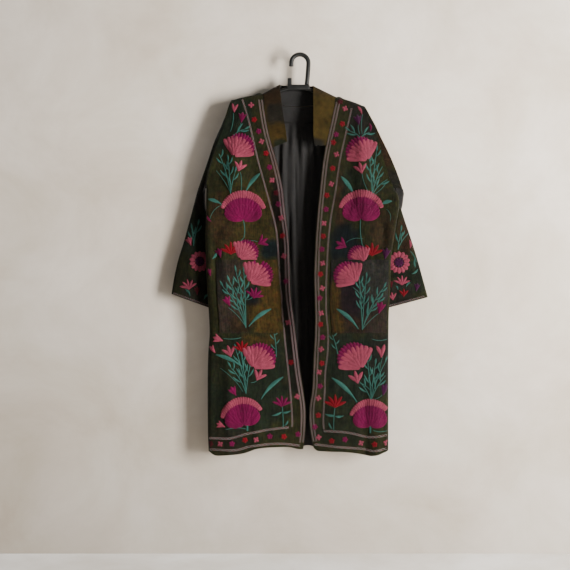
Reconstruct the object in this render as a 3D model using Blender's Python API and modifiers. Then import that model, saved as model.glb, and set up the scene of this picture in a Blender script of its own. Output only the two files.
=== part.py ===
"""A long open coat on a moulded hanger, hung flat by its hook.

Metres, +Z up. The origin is the seat of the hook, the inside of its top, where a nail carries it.
-Y faces the viewer and X runs to the viewer's right, so the wearer's right front is at -X.
Tables are in millimetres. A drop is a distance below the hook's seat.
"""

import math

import bpy
import numpy as np

MM = 0.001

# Cloth
CLOTH = 2.0 * MM          # coat cloth with its backing
LINING = 1.2 * MM
SEAM_GAP = 0.4 * MM       # between two pieces sewn to each other
SEAM_SETBACK = 0.5        # mm, each piece's edge from the line of a seam that turns a corner
COLLAR_GAP = 0.6 * MM     # the collar's seam edge from the necks of the panels
SHOULDER_GAP = 2.1 * MM   # the same where both bend over the hanger's arm
SHOULDER_ROUND = 12.0     # mm, the cloth's bend over the hanger's arm

# Rows of every body panel, as drops in mm, below the rows that go round the shoulder.
UNDERARM_DROP = 380.0
POCKET_TOP_DROP = 586.0
POCKET_FOOT_DROP = 795.0
ARMHOLE_ROWS = (170.0, 205.0, 240.0, 275.0, 315.0, 350.0, 371.0, UNDERARM_DROP)
SKIRT_ROWS = (395.0, 415.0, 440.0, 475.0, 515.0, 550.0, POCKET_TOP_DROP, 640.0, 695.0, 745.0,
              POCKET_FOOT_DROP, 850.0, 905.0, 960.0, 1010.0, 1055.0, 1092.0)
HEM_DROP = 1130.0
HEM_FADE = 160.0          # mm above the hem in which the hem's wave dies out
SLANT_END = 400.0         # the drop where the shoulder's slant has died out of the rows
SLANT_FADE = 230.0
NECK_END = 260.0          # the same for the back neck's curve
NECK_FADE = 130.0
RIGHT_TIP_DROP = 125.0    # the shoulders' tips
LEFT_TIP_DROP = 142.0
TURN_ANGLES = (0, 10, 35, 62, 90)        # degrees, the columns of a side's round turn
SHOULDER_ANGLES = (0, 12, 45, 90)        # degrees, the rows of the bend over the arm
COLLAR_END_DROP = 275.0
BODY_COLUMNS = 8          # of a front, between its side turn and its border
BAND_COLUMNS = 4          # across the border
SHOULDER_SHARES = (0.33, 0.67)           # the back's columns between each side turn and the neck
RIGHT_BORDER_COLUMN = 2.0                # mm from the last body column to the border's own
LEFT_BORDER_COLUMN = 12.0

# Outline of each half, drop then x. Side is the armhole down to the underarm, then the side seam.
RIGHT_SIDE = ((125, -194), (160, -205), (182, -210), (228, -225), (274, -242), (325, -258),
              (380, -268), (416, -268), (530, -270), (596, -268), (673, -265), (752, -260),
              (809, -259), (865, -264), (986, -265), (1092, -264), (1140, -262))
LEFT_SIDE = ((142, 182), (180, 200), (211, 216), (254, 228), (296, 239), (342, 253), (371, 265),
             (380, 270), (395, 279), (416, 284), (482, 276), (544, 265), (596, 259), (673, 258),
             (730, 254), (809, 254), (986, 254), (1131, 254))
# The front opening's edge, and the inner row of its embroidered border.
RIGHT_EDGE = ((108, -108), (202, -94), (259, -80), (288, -71), (390, -48), (430, -44), (542, -31),
              (673, -27), (781, -14), (923, 3), (1015, 16), (1066, 16), (1120, 9))
LEFT_EDGE = ((117, 105), (202, 87), (274, 71), (302, 66), (382, 57), (453, 50), (550, 43),
             (644, 40), (761, 43), (849, 39), (958, 34), (1020, 26), (1057, 27), (1120, 39))
RIGHT_BORDER = ((117, -168), (182, -148), (302, -120), (408, -91), (516, -66), (644, -57),
                (673, -54), (761, -48), (844, -40), (958, -28), (1057, -22), (1120, -28))
LEFT_BORDER = ((145, 150), (208, 135), (302, 114), (396, 100), (479, 86), (573, 78), (693, 74),
               (761, 76), (821, 82), (886, 73), (975, 70), (1040, 66), (1120, 76))
# The shoulder line and the hem, x then drop.
SHOULDER = ((-194, 125), (-154, 115), (-108, 108), (105, 117), (137, 125), (171, 137), (182, 142))
HEM = ((-262, 1134), (-239, 1146), (-205, 1143), (-171, 1140), (-137, 1131), (-120, 1123),
       (-34, 1120), (0, 1126), (37, 1122), (51, 1131), (120, 1134), (154, 1137), (205, 1146),
       (239, 1137), (254, 1131))
NECK_COLUMNS = (-108, -102, -86, -57, -28, 0, 26, 51, 80, 99, 105)
BACK_NECK = ((-108, 108), (-86, 125), (-57, 137), (0, 142), (51, 137), (80, 128), (105, 117))

# Depths, drop then y. The side seam swings forward of the sleeve below the underarm.
SEAM_DEPTH = ((380, -8), (390, -15), (400, -20), (416, -24), (450, -27), (660, -27), (745, -22),
              (800, -15), (900, -11), (1140, -9))
ARMHOLE_FRONT = ((137, -12), (190, -17), (260, -19), (320, -19), (360, -17.5), (380, -16))
ARMHOLE_BACK = ((137, 12), (190, 16), (260, 16), (320, 12), (360, 4), (380, -1))
# How far the wall has turned away from the seam, and over what width, drop then mm.
FRONT_TURN_DEPTH = ((380, 8), (416, 9), (450, 11), (745, 13), (850, 19), (1140, 21))
BACK_TURN_DEPTH = ((380, 7), (416, 7), (450, 9), (745, 10), (850, 16), (1140, 18))
RIGHT_TURN_WIDTH = ((137, 3), (260, 6), (380, 10), (500, 18), (586, 28), (795, 30), (900, 38),
                    (1140, 38))
LEFT_TURN_WIDTH = ((137, 3), (260, 6), (380, 10), (500, 13), (1140, 16))
# Depth of the middle of the fronts and of the back, by height below the shoulder line.
FRONT_DEPTH = ((12, -12), (50, -21), (110, -27), (300, -31), (700, -34), (1030, -32))
BACK_DEPTH = ((12, 12), (60, 18), (120, 23), (270, 27), (640, 27), (700, 24), (1030, 20))
# Where the back leaves the sleeves that lie on it, as distances from the side seam.
BACK_RAMP_START = ((137, 10), (330, 14), (410, 58), (745, 62), (810, 36), (1140, 38))
BACK_RAMP_END = ((137, 70), (330, 80), (410, 118), (745, 118), (810, 105), (1140, 105))
FRONT_RAMP = 75.0         # mm over which a front rises from its side turn

# The right front's border curls towards the viewer, drop then slope.
RIGHT_CURL = ((108, 0.0), (350, 0.0), (400, 0.42), (520, 0.6), (650, 0.92), (720, 0.95),
              (800, 0.6), (900, 0.35), (1000, 0.2), (1120, 0.05))
LEFT_CURL = ((117, 0.0), (300, 0.04), (1120, 0.06))

# Folds: x and drop of the upper end, x and drop of the lower end, half width, height.
# A height is towards the viewer on a front and away from the viewer on the back.
FOLD_FADE = 0.25          # share of a fold's length in which each end dies out
RIGHT_FRONT_FOLDS = ((-186, 150, -196, 620, 20, 5), (-239, 480, -242, 700, 9, -6),
                     (-140, 200, -128, 520, 22, -4), (-232, 860, -236, 1150, 16, -5),
                     (-150, 960, -110, 1150, 24, 6), (-196, 840, -206, 1150, 18, 5))
LEFT_FRONT_FOLDS = ((172, 150, 196, 620, 22, 9), (128, 160, 150, 480, 16, -6),
                    (233, 460, 238, 590, 10, -6), (186, 930, 188, 1150, 10, -7),
                    (212, 900, 214, 1150, 14, 6), (110, 850, 96, 1150, 20, 4))
BACK_FOLDS = ((-120, 240, -140, 1150, 26, 6), (-30, 260, -44, 1150, 24, 5),
              (60, 240, 52, 1150, 24, 5), (140, 260, 148, 1150, 26, 6),
              (-80, 600, -92, 1150, 20, -5), (100, 560, 104, 1150, 20, -5))

# Lining pleats: gathered to the neck strip, one ridge every pitch.
LINING_TOP_DROP = 189.5
LINING_FOOT_DROP = 1118.0
LINING_ROWS = (LINING_TOP_DROP, 215, 245, 300, 380, 420, 520, 640, 745, 810, 900, 1010,
               LINING_FOOT_DROP)
LINING_HALF_WIDTH = 186.0
PLEAT_PITCH = 26.0
PLEAT_COLUMNS = 4
PLEAT_HEIGHT = ((LINING_TOP_DROP, 2.0), (240, 9.0), (420, 11.0), (800, 9.0), (1118, 6.0))
# From the back's outer face to the lining's back face, drop then mm. It is sewn under the strip.
LINING_STAND = ((LINING_TOP_DROP, 3.2), (215, 6.5), (250, 11.0), (LINING_FOOT_DROP, 11.0))
PLEAT_SHIFT = 5.0         # mm from the centre line to the nearest ridge
PLEAT_LEAN = 10.0         # mm that the ridges drift to the right from top to hem

# Neck strip
STRIP_WIDTH = 46.0
STRIP_HALF_LENGTH = 84.0
STRIP_STAND = 3.2         # mm from the back's outer face to the strip's back face
STRIP_TAPER = 0.3         # share of the width lost at the ends
STRIP_SEAM = 1.0          # mm from the neck seam down to the strip
STRIP_COLUMNS = 16
STRIP_ROWS = 3
STRIP_LEVEL = 137.0       # the least level at which its depth is read

# Collar: its free edge from the right end to the left, x, drop and depth, with a row for each
# point of the seam edge: seven up the right front, the shoulder, nine of the back neck, the
# other shoulder and seven down the left front.
COLLAR_FREE = ((-37, 250, -35), (-41, 215, -33), (-46, 185, -30), (-51, 150, -26),
               (-56, 108, -18), (-58, 92, -11), (-58.5, 83, -4), (-58, 80, 0),
               (-57, 80, 4), (-53, 80.5, 10), (-40, 81, 15.5), (-20, 80.3, 18.5),
               (0, 80, 19.3), (15, 80.5, 18.8), (27, 82, 15.5), (34, 83, 10), (37, 83.5, 4),
               (38, 83.5, 0), (38.5, 86, -4), (38.5, 95, -11), (38, 112, -18),
               (38, 155, -27), (38, 190, -31), (38, 222, -33), (41, 260, -35))
COLLAR_COLUMNS = 4

# Sleeves, one row for each ring: outer end x and drop, inner end x and drop, how far the middle
# bows outward, depth of the outer end and of the inner end, and half the sleeve's thickness.
RIGHT_RINGS = ((-205, 148, -278, 388, 3, 0, -4, 16), (-224, 194, -280, 406, 5, 1, 3, 15.5),
               (-244, 239, -277, 436, 8, 2, 9, 15), (-261, 288, -268, 470, 11, 4, 12, 15),
               (-278, 336, -256, 507, 10, 5, 13, 15), (-295, 385, -247, 544, 4, 7, 13, 15),
               (-308, 433, -239, 581, 0, 8, 13, 15), (-322, 485, -234, 616, 0, 8, 13, 15),
               (-336, 536, -229, 650, 0, 8, 13, 15), (-352, 587, -226, 681, 0, 8, 12, 14),
               (-363, 636, -223, 710, 0, 8, 11, 13), (-371, 684, -220, 738, 0, 8, 10, 12))
LEFT_RINGS = ((190, 156, 296, 390, 7, 0, -4, 16), (210, 187, 297, 408, 6, 1, 3, 15.5),
              (230, 228, 293, 438, 9, 2, 9, 15), (242, 274, 281, 472, 15, 4, 12, 15),
              (256, 320, 270, 508, 18, 5, 13, 15), (273, 372, 259, 545, 16, 7, 13, 15),
              (288, 423, 249, 582, 8, 8, 13, 15), (303, 470, 241, 616, 0, 8, 13, 15),
              (320, 520, 235, 649, 0, 8, 13, 15), (338, 577, 230, 680, 0, 8, 12, 14),
              (355, 638, 226, 707, 0, 8, 11, 13), (370, 693, 223, 732, 0, 8, 10, 12))
RING_POWER = 2.5          # roundness of a ring's two ends
SLEEVE_LIP = 2.5 * MM     # straight stretch of a sleeve beside the armhole seam

# Pockets
POCKET_CLOTH = 1.6 * MM
POCKET_STAND = 0.7 * MM   # from the front's face to the pocket's back face
RIGHT_POCKET_COLUMNS = (4, 12)           # first and last column of the front that each covers
LEFT_POCKET_COLUMNS = (3, 12)

# Hanger, in mm
HOOK_RADIUS = 24.7        # of the tube's centre line
TUBE_RADIUS = 6.5
HOOK_TIP_DROP = 27.6
HOOK_STEPS = 12           # of the half turn
POST_BEND = (24.1, 34.0)  # x and drop where the half turn has run into the post
POST_FOOT = (20.0, 80.4)
HUB_SIZE = (64.0, 14.0, 15.0)
HUB_CENTRE = (-4.0, 88.5)
PEG_CENTRE = (-29.5, 72.0)
PEG_SIZE = (12.0, 9.0, 20.0)
ARM_RADIUS = 5.5
HUB_BEVEL = 3.0
PEG_BEVEL = 2.0
CAP_WELD = 0.01 * MM
RIGHT_ARM = ((-20, 90), (-57, 99), (-86, 110), (-108, 118.4), (-142, 124.7), (-171, 131.2),
             (-184, 137.2))
LEFT_ARM = ((12, 90), (51, 103), (74, 115.5), (103, 129.6), (137, 137.2), (163, 145.2), (174, 151.2))

# Colours, linear
MOSS = (0.045, 0.045, 0.022, 1.0)
DARK_GREEN = (0.022, 0.033, 0.021, 1.0)
OLIVE = (0.095, 0.066, 0.026, 1.0)
LINING_GREY = (0.03, 0.028, 0.027, 1.0)
BLACK_PLASTIC = (0.02, 0.021, 0.02, 1.0)


def along(table, places):
    """A table's second column read at these places, by a smooth curve that never overshoots."""
    xs, ys = np.array(table, float).T
    slopes = np.diff(ys) / np.diff(xs)
    ends = np.concatenate([[slopes[0]], np.zeros(len(xs) - 2), [slopes[-1]]])
    same_way = slopes[:-1] * slopes[1:] > 0
    ends[1:-1][same_way] = (2 * slopes[:-1] * slopes[1:] / (slopes[:-1] + slopes[1:] + 1e-12))[same_way]
    places = np.clip(np.asarray(places, float), xs[0], xs[-1])
    at = np.clip(np.searchsorted(xs, places, side="right") - 1, 0, len(xs) - 2)
    width = xs[at + 1] - xs[at]
    t = (places - xs[at]) / width
    return (ys[at] * (2 * t**3 - 3 * t**2 + 1) + ends[at] * width * (t**3 - 2 * t**2 + t)
            + ys[at + 1] * (3 * t**2 - 2 * t**3) + ends[at + 1] * width * (t**3 - t**2))


def ease(t):
    """0 to 1 with level ends."""
    t = np.clip(t, 0.0, 1.0)
    return t * t * (3 - 2 * t)


def fold_heights(folds, x, drop):
    """Sum of the soft ridges and troughs of a fold table."""
    total = np.zeros_like(x)
    for top_x, top_drop, foot_x, foot_drop, half_width, height in folds:
        t = (drop - top_drop) / (foot_drop - top_drop)
        centre = top_x + (foot_x - top_x) * np.clip(t, 0, 1)
        length = ease(t / FOLD_FADE)
        if foot_drop < HEM_DROP:
            length = length * ease((1 - t) / FOLD_FADE)
        total += height * length * np.exp(-(((x - centre) / half_width) ** 2))
    return total


def panel_rows(top_drop):
    """Row drops of a panel: round the shoulder, then the armhole, the skirt and the hem."""
    angles = np.radians(SHOULDER_ANGLES)
    shoulder = top_drop + SHOULDER_ROUND * (1 - np.cos(angles))
    return np.concatenate([shoulder, ARMHOLE_ROWS, SKIRT_ROWS, [HEM_DROP]])


def bend_over_arm(height):
    """Depth of the cloth round the hanger's arm, by height below the shoulder line."""
    t = np.clip(height / SHOULDER_ROUND, 0, 1)
    return SHOULDER_ROUND * np.sqrt(np.maximum(1 - (1 - t) ** 2, 0))


def side_turn(distance, width, depth):
    """Depth gained by a wall that turns a quarter of an ellipse away from its seam."""
    t = np.clip(distance / width, 0, 1)
    return depth * np.sqrt(np.maximum(1 - (1 - t) ** 2, 0))


def hem_and_shoulder(x, drop, top_drop):
    """Moves a row from its level drop to the slanted shoulder line and the waving hem."""
    to_top = along(SHOULDER, x) - top_drop
    to_hem = along(HEM, x) - HEM_DROP
    return (drop + to_top * ease((SLANT_END - drop) / SLANT_FADE)
            + to_hem * ease((drop - HEM_DROP + HEM_FADE) / HEM_FADE))


def slanted_line(table, rows, top_drop):
    """x of a line down a panel at each row, read at the drop where the slanted row crosses it."""
    x = along(table, rows)
    for _ in range(4):
        x = along(table, hem_and_shoulder(x, rows, top_drop))
    return x


def front_columns(side, border, edge, turn, border_column):
    """x of each column of a front: the side turn, the body of the panel, then its border."""
    turning = 1 - np.cos(np.radians(TURN_ANGLES))
    body = np.linspace(0, 1, BODY_COLUMNS + 1)[1:]
    band = np.linspace(0, 1, BAND_COLUMNS + 1)[1:]
    inward = 1 if side[0] < 0 else -1
    columns = [side + inward * turn * share for share in turning]
    start = columns[-1]
    last = border - inward * border_column
    columns += [start + (last - start) * share for share in body]
    columns += [border]
    columns += [border + (edge - border) * share for share in band]
    return np.stack(columns, axis=1)


def front_surface(side_table, border_table, edge_table, turn_table, folds, curl, border_column,
                  top_drop):
    """Outer face of a front, as rows of points from the side seam to the opening, in metres."""
    rows = panel_rows(top_drop)
    side = along(side_table, rows)
    border = slanted_line(border_table, rows, top_drop)
    edge = slanted_line(edge_table, rows, top_drop)
    turn = along(turn_table, rows)
    x = front_columns(side, border, edge, turn, border_column)
    level = rows[:, None] + 0 * x
    drop = hem_and_shoulder(x, level, top_drop)
    y = front_depth(x, level, drop, side_table, border_table, turn_table, folds, curl)
    return np.stack([x, y, -drop], axis=2) * MM


def front_depth(x, level, drop, side_table, border_table, turn_table, folds, curl):
    """y of a front's outer face, in mm, at x and at the drop of its row."""
    inward = 1 if side_table[0][1] < 0 else -1
    side = along(side_table, level)
    distance = np.abs(x - side)
    height = drop - along(SHOULDER, x)
    width = along(turn_table, level)
    depth = along(FRONT_TURN_DEPTH, level)
    round_side = along(SEAM_DEPTH, level) - SEAM_SETBACK - side_turn(distance, width, depth)
    open_side = along(ARMHOLE_FRONT, level)
    turned = np.where(level < UNDERARM_DROP, open_side, round_side)
    full = np.where(level < UNDERARM_DROP, open_side, along(SEAM_DEPTH, level) - SEAM_SETBACK - depth)
    middle = along(FRONT_DEPTH, height)
    y = turned + (middle - full) * ease((distance - width) / FRONT_RAMP)
    y -= fold_heights(folds, x, drop)
    past_border = np.maximum(inward * (x - along(border_table, level)), 0)
    y -= along(curl, level) * past_border
    return np.where(height < SHOULDER_ROUND, -bend_over_arm(height) - SEAM_SETBACK, y)


def back_top(x):
    """Drop of the back's upper edge: the shoulder lines and the neck between them."""
    return np.where((x > BACK_NECK[0][0]) & (x < BACK_NECK[-1][0]), along(BACK_NECK, x), along(SHOULDER, x))


def back_depth(x, level, drop):
    """y of the back's outer face, in mm."""
    left = along(RIGHT_SIDE, level)
    right = along(LEFT_SIDE, level)
    distance = np.minimum(x - left, right - x)
    height = drop - along(SHOULDER, x)
    depth = along(BACK_TURN_DEPTH, level)
    width = along(LEFT_TURN_WIDTH, level)
    start = along(BACK_RAMP_START, level)
    end = along(BACK_RAMP_END, level)
    round_side = along(SEAM_DEPTH, level) + SEAM_SETBACK + side_turn(distance, width, depth)
    open_side = along(ARMHOLE_BACK, level)
    turned = np.where(level < UNDERARM_DROP, open_side, round_side)
    full = np.where(level < UNDERARM_DROP, open_side, along(SEAM_DEPTH, level) + SEAM_SETBACK + depth)
    middle = along(BACK_DEPTH, height)
    y = turned + (middle - full) * ease((distance - start) / (end - start))
    y += fold_heights(BACK_FOLDS, x, drop)
    return np.where(height < SHOULDER_ROUND, bend_over_arm(height) + SEAM_SETBACK, y)


def back_surface():
    """Outer face of the back, as rows of points from the wearer's right to the left, in metres."""
    rows = panel_rows(RIGHT_TIP_DROP)
    left = along(RIGHT_SIDE, rows)
    right = along(LEFT_SIDE, rows)
    turning = 1 - np.cos(np.radians(TURN_ANGLES))
    width = along(LEFT_TURN_WIDTH, rows)
    columns = [left + width * share for share in turning]
    start, end = columns[-1], right - width
    columns += [start + (NECK_COLUMNS[0] - start) * share for share in SHOULDER_SHARES]
    columns += [x + 0 * rows for x in NECK_COLUMNS]
    columns += [NECK_COLUMNS[-1] + (end - NECK_COLUMNS[-1]) * share for share in SHOULDER_SHARES]
    columns += [right - width * share for share in turning[::-1]]
    x = np.stack(columns, axis=1)
    level = rows[:, None] + 0 * x
    drop = hem_and_shoulder(x, level, RIGHT_TIP_DROP)
    drop += (back_top(x) - along(SHOULDER, x)) * ease((NECK_END - level) / NECK_FADE)
    y = back_depth(x, level, drop)
    return np.stack([x, y, -drop], axis=2) * MM


def lining_surface():
    """Back face of the lining, pleated, as rows of points, in metres."""
    count = int(2 * LINING_HALF_WIDTH / PLEAT_PITCH * PLEAT_COLUMNS)
    x = np.linspace(-LINING_HALF_WIDTH, LINING_HALF_WIDTH, count + 1)
    x, drop = np.meshgrid(x, np.array(LINING_ROWS, float))
    lean = PLEAT_LEAN * (drop - LINING_TOP_DROP) / (LINING_FOOT_DROP - LINING_TOP_DROP)
    phase = (x - PLEAT_SHIFT - lean) / PLEAT_PITCH
    ridge = along(PLEAT_HEIGHT, drop) * (0.5 + 0.5 * np.cos(2 * math.pi * phase))
    y = back_depth(x, drop, drop) - along(LINING_STAND, drop) - ridge
    return np.stack([x, y, -drop], axis=2) * MM


def strip_surface():
    """Back face of the neck strip, in metres."""
    x = np.linspace(-STRIP_HALF_LENGTH, STRIP_HALF_LENGTH, STRIP_COLUMNS + 1)
    top = along(BACK_NECK, x) + STRIP_SEAM
    shares = np.linspace(0, 1, STRIP_ROWS + 1)
    foot = top + STRIP_WIDTH * (1 - STRIP_TAPER * (np.abs(x) / STRIP_HALF_LENGTH) ** 2)
    drop = top + (foot - top) * shares[:, None]
    x = x + 0 * drop
    level = np.maximum(drop, STRIP_LEVEL)
    y = back_depth(x, level, drop) - STRIP_STAND
    return np.stack([x, y, -drop], axis=2) * MM


def collar_surface(right, left, back):
    """The collar's face that shows on the fronts, from its seam edge to its free edge.

    The seam edge follows the opening edges of both fronts and the neck of the back."""
    count = len(SHOULDER_ANGLES) + ARMHOLE_ROWS.index(COLLAR_END_DROP) + 1
    first = len(TURN_ANGLES) + len(SHOULDER_SHARES)
    neck = back[0, first:first + len(NECK_COLUMNS)]
    gap = np.zeros((count, 3))
    gap[:, 0] = COLLAR_GAP
    gap[:len(SHOULDER_ANGLES), 0] = SHOULDER_GAP
    right_edge = right[:count, -1] + gap
    left_edge = left[:count, -1] - gap
    neck = neck + np.array([0, 0, COLLAR_GAP])
    neck[[0, -1], 1] = 0
    seam = np.concatenate([right_edge[:0:-1], neck, left_edge[1:]])
    free = np.array(COLLAR_FREE, float)
    free = np.stack([free[:, 0], free[:, 2], -free[:, 1]], axis=1) * MM
    shares = np.linspace(0.0, 1.0, COLLAR_COLUMNS + 1)[:, None, None]
    return seam + (free - seam) * shares


def sleeve_surface(front, back, rings):
    """Outer face of a sleeve, as closed rings from the armhole to the cuff, in metres.

    The first ring is the armhole, read from the edges of the front and of the back."""
    count = len(SHOULDER_ANGLES) + len(ARMHOLE_ROWS)
    outward = -1 if rings[0][0] < 0 else 1
    front_edge = front[:count]
    back_edge = back[:count]
    armhole = np.concatenate([front_edge, back_edge[-2:0:-1]])
    armhole[0, 1] = 0
    armhole[count - 1, 1] = (front_edge[-1, 1] + back_edge[-1, 1]) / 2
    armhole[:, 0] += outward * SEAM_GAP
    top, foot = front_edge[0, 2], front_edge[-1, 2]
    share = (top - front_edge[:, 2]) / (top - foot)
    half = (1 - np.abs(2 * share - 1) ** RING_POWER) ** (1 / RING_POWER)
    share = np.concatenate([share, share[-2:0:-1]])
    side = np.concatenate([-half, half[-2:0:-1]])
    made = [armhole, armhole + np.array([outward * SLEEVE_LIP, 0, 0])]
    for outer_x, outer_drop, inner_x, inner_drop, bow, outer_y, inner_y, thick in rings:
        x = outer_x + (inner_x - outer_x) * share + outward * bow * 4 * share * (1 - share)
        drop = outer_drop + (inner_drop - outer_drop) * share
        y = outer_y + (inner_y - outer_y) * share + thick * side
        made.append(np.stack([x, y, -drop], axis=1) * MM)
    return np.array(made)


def material(name, colour, roughness, metallic=0.0):
    made = bpy.data.materials.new(name)
    made.use_nodes = True
    shader = made.node_tree.nodes["Principled BSDF"]
    shader.inputs["Base Color"].default_value = colour
    shader.inputs["Roughness"].default_value = roughness
    shader.inputs["Metallic"].default_value = metallic
    return made


def object_from(name, mesh, finish, collection):
    made = bpy.data.objects.new(name, mesh)
    made.data.materials.append(finish)
    collection.objects.link(made)
    return made


def cloth_piece(name, surface, thickness, offset, finish, collection, closed=False):
    """A wall of cloth on a grid of points. offset -1 puts it behind the face, 1 in front."""
    rows, columns = surface.shape[:2]
    last = columns if closed else columns - 1
    faces = []
    for r in range(rows - 1):
        for c in range(last):
            d = (c + 1) % columns
            faces.append((r * columns + c, (r + 1) * columns + c, (r + 1) * columns + d, r * columns + d))
    mesh = bpy.data.meshes.new(name)
    mesh.from_pydata(surface.reshape(-1, 3).tolist(), [], faces)
    mesh.shade_smooth()
    made = object_from(name, mesh, finish, collection)
    wall = made.modifiers.new("Wall", "SOLIDIFY")
    wall.thickness = thickness
    wall.offset = offset
    wall.use_even_offset = not closed
    return made


def outward_normals(surface):
    """Unit normals of an open grid, for a piece that lies on it."""
    down = np.gradient(surface, axis=0)
    across = np.gradient(surface, axis=1)
    normals = np.cross(down, across)
    return normals / np.linalg.norm(normals, axis=2, keepdims=True)


def pocket_surface(front, covered):
    """A pocket's back face: the front's own points between two rows and two columns, moved out."""
    waist = len(SHOULDER_ANGLES) + len(ARMHOLE_ROWS)
    first = waist + SKIRT_ROWS.index(POCKET_TOP_DROP)
    last = waist + SKIRT_ROWS.index(POCKET_FOOT_DROP)
    normals = outward_normals(front)
    toward_viewer = np.where(normals[:, :, 1:2] > 0, -normals, normals)
    moved = front + toward_viewer * POCKET_STAND
    return moved[first:last + 1, covered[0]:covered[1] + 1]


def tube(name, points, radius, finish, collection):
    """A round bar along x, drop points in the plane y = 0, with closed ends, as a mesh."""
    curve = bpy.data.curves.new(name, "CURVE")
    curve.dimensions = "3D"
    curve.bevel_depth = radius * MM
    curve.bevel_resolution = 2
    curve.use_fill_caps = True
    spline = curve.splines.new("POLY")
    spline.points.add(len(points) - 1)
    for point, (x, drop) in zip(spline.points, points):
        point.co = (x * MM, 0, -drop * MM, 1)
    return object_from(name, curve, finish, collection)


def hook_points():
    """The hook's centre line: the tip, three quarters of a turn, then the post."""
    centre_drop = HOOK_RADIUS - TUBE_RADIUS
    points = [(-HOOK_RADIUS, HOOK_TIP_DROP)]
    for angle in np.radians(np.linspace(180, 0, HOOK_STEPS + 1)):
        points.append((HOOK_RADIUS * math.cos(angle), centre_drop - HOOK_RADIUS * math.sin(angle)))
    points.append(POST_BEND)
    points.append(POST_FOOT)
    return points


def meshed(obj, collection):
    """The object again as a mesh whose caps are welded, so that Booleans can join it."""
    graph = bpy.context.evaluated_depsgraph_get()
    mesh = bpy.data.meshes.new_from_object(obj.evaluated_get(graph))
    made = bpy.data.objects.new(obj.name + "_mesh", mesh)
    made.matrix_world = obj.matrix_world
    collection.objects.link(made)
    bpy.data.objects.remove(obj)
    weld = made.modifiers.new("Weld", "WELD")
    weld.merge_threshold = CAP_WELD
    return made


def block(name, size, centre, bevel, collection):
    """A block with rounded edges: size is x, y, z in mm and centre is x, drop."""
    bpy.ops.mesh.primitive_cube_add(size=1, location=(centre[0] * MM, 0, -centre[1] * MM))
    made = bpy.context.object
    made.name = name
    made.scale = [side * MM for side in size]
    bpy.ops.object.transform_apply(location=False, rotation=False, scale=True)
    for other in made.users_collection:
        other.objects.unlink(made)
    collection.objects.link(made)
    round_edges = made.modifiers.new("Edges", "BEVEL")
    round_edges.width = bevel * MM
    round_edges.segments = 2
    return made


def hanger(collection, helpers, finish):
    hook = tube("hanger_hook", hook_points(), TUBE_RADIUS, finish, collection)
    weld = hook.modifiers.new("Weld", "WELD")
    weld.merge_threshold = CAP_WELD
    hub = block("hanger_arms", HUB_SIZE, HUB_CENTRE, HUB_BEVEL, collection)
    hub.data.materials.append(finish)
    joined = [block("peg", PEG_SIZE, PEG_CENTRE, PEG_BEVEL, helpers)]
    for name, points in (("right_arm", RIGHT_ARM), ("left_arm", LEFT_ARM)):
        arm = tube(name, points, ARM_RADIUS, finish, helpers)
        bpy.context.view_layer.update()
        joined.append(meshed(arm, helpers))
    for piece in joined:
        piece.hide_render = True
        piece.display_type = "WIRE"
        union = hub.modifiers.new("Join " + piece.name, "BOOLEAN")
        union.operation = "UNION"
        union.object = piece


def build():
    for obj in list(bpy.data.objects):
        bpy.data.objects.remove(obj)
    coat = bpy.data.collections.new("long_coat")
    helpers = bpy.data.collections.new("helpers")
    for collection in (coat, helpers):
        bpy.context.scene.collection.children.link(collection)

    moss = material("moss_cloth", MOSS, 0.9)
    dark_green = material("dark_green_cloth", DARK_GREEN, 0.9)
    olive = material("olive_cloth", OLIVE, 0.9)
    grey = material("lining_grey", LINING_GREY, 0.8)
    black = material("black_plastic", BLACK_PLASTIC, 0.45)

    back = back_surface()
    right = front_surface(RIGHT_SIDE, RIGHT_BORDER, RIGHT_EDGE, RIGHT_TURN_WIDTH,
                          RIGHT_FRONT_FOLDS, RIGHT_CURL, RIGHT_BORDER_COLUMN, RIGHT_TIP_DROP)
    left = front_surface(LEFT_SIDE, LEFT_BORDER, LEFT_EDGE, LEFT_TURN_WIDTH,
                         LEFT_FRONT_FOLDS, LEFT_CURL, LEFT_BORDER_COLUMN, LEFT_TIP_DROP)
    # Column 0 of each front is at the side seam, so the left one is turned round to face out.
    cloth_piece("back_panel", back[:, ::-1], CLOTH, -1, moss, coat)
    cloth_piece("front_right", right, CLOTH, -1, dark_green, coat)
    cloth_piece("front_left", left[:, ::-1], CLOTH, -1, dark_green, coat)
    cloth_piece("lining_back", lining_surface()[:, ::-1], LINING, -1, grey, coat)
    cloth_piece("neck_strip", strip_surface()[:, ::-1], LINING, -1, grey, coat)
    cloth_piece("collar", collar_surface(right, left, back), CLOTH, -1, olive, coat)
    cloth_piece("pocket_right", pocket_surface(right, RIGHT_POCKET_COLUMNS), POCKET_CLOTH, 1, moss, coat)
    left_pocket = pocket_surface(left, LEFT_POCKET_COLUMNS)
    cloth_piece("pocket_left", left_pocket[:, ::-1], POCKET_CLOTH, 1, moss, coat)
    right_sleeve = sleeve_surface(right[:, 0], back[:, 0], RIGHT_RINGS)
    left_sleeve = sleeve_surface(left[:, 0], back[:, -1], LEFT_RINGS)
    cloth_piece("sleeve_right", right_sleeve, CLOTH, -1, dark_green, coat, closed=True)
    cloth_piece("sleeve_left", left_sleeve[:, ::-1], CLOTH, -1, dark_green, coat, closed=True)
    hanger(coat, helpers, black)


build()
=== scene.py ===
"""Looks of a long embroidered coat that hangs flat on a moulded hanger.

Metres, +Z up. The origin is the seat of the hanger's hook. -Y faces the viewer, and the wearer's
right front is at -X. Tables are in millimetres, and a drop is a distance below the hook's seat.
"""

import math

import bpy
import numpy as np
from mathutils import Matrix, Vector
from mathutils.bvhtree import BVHTree


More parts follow.
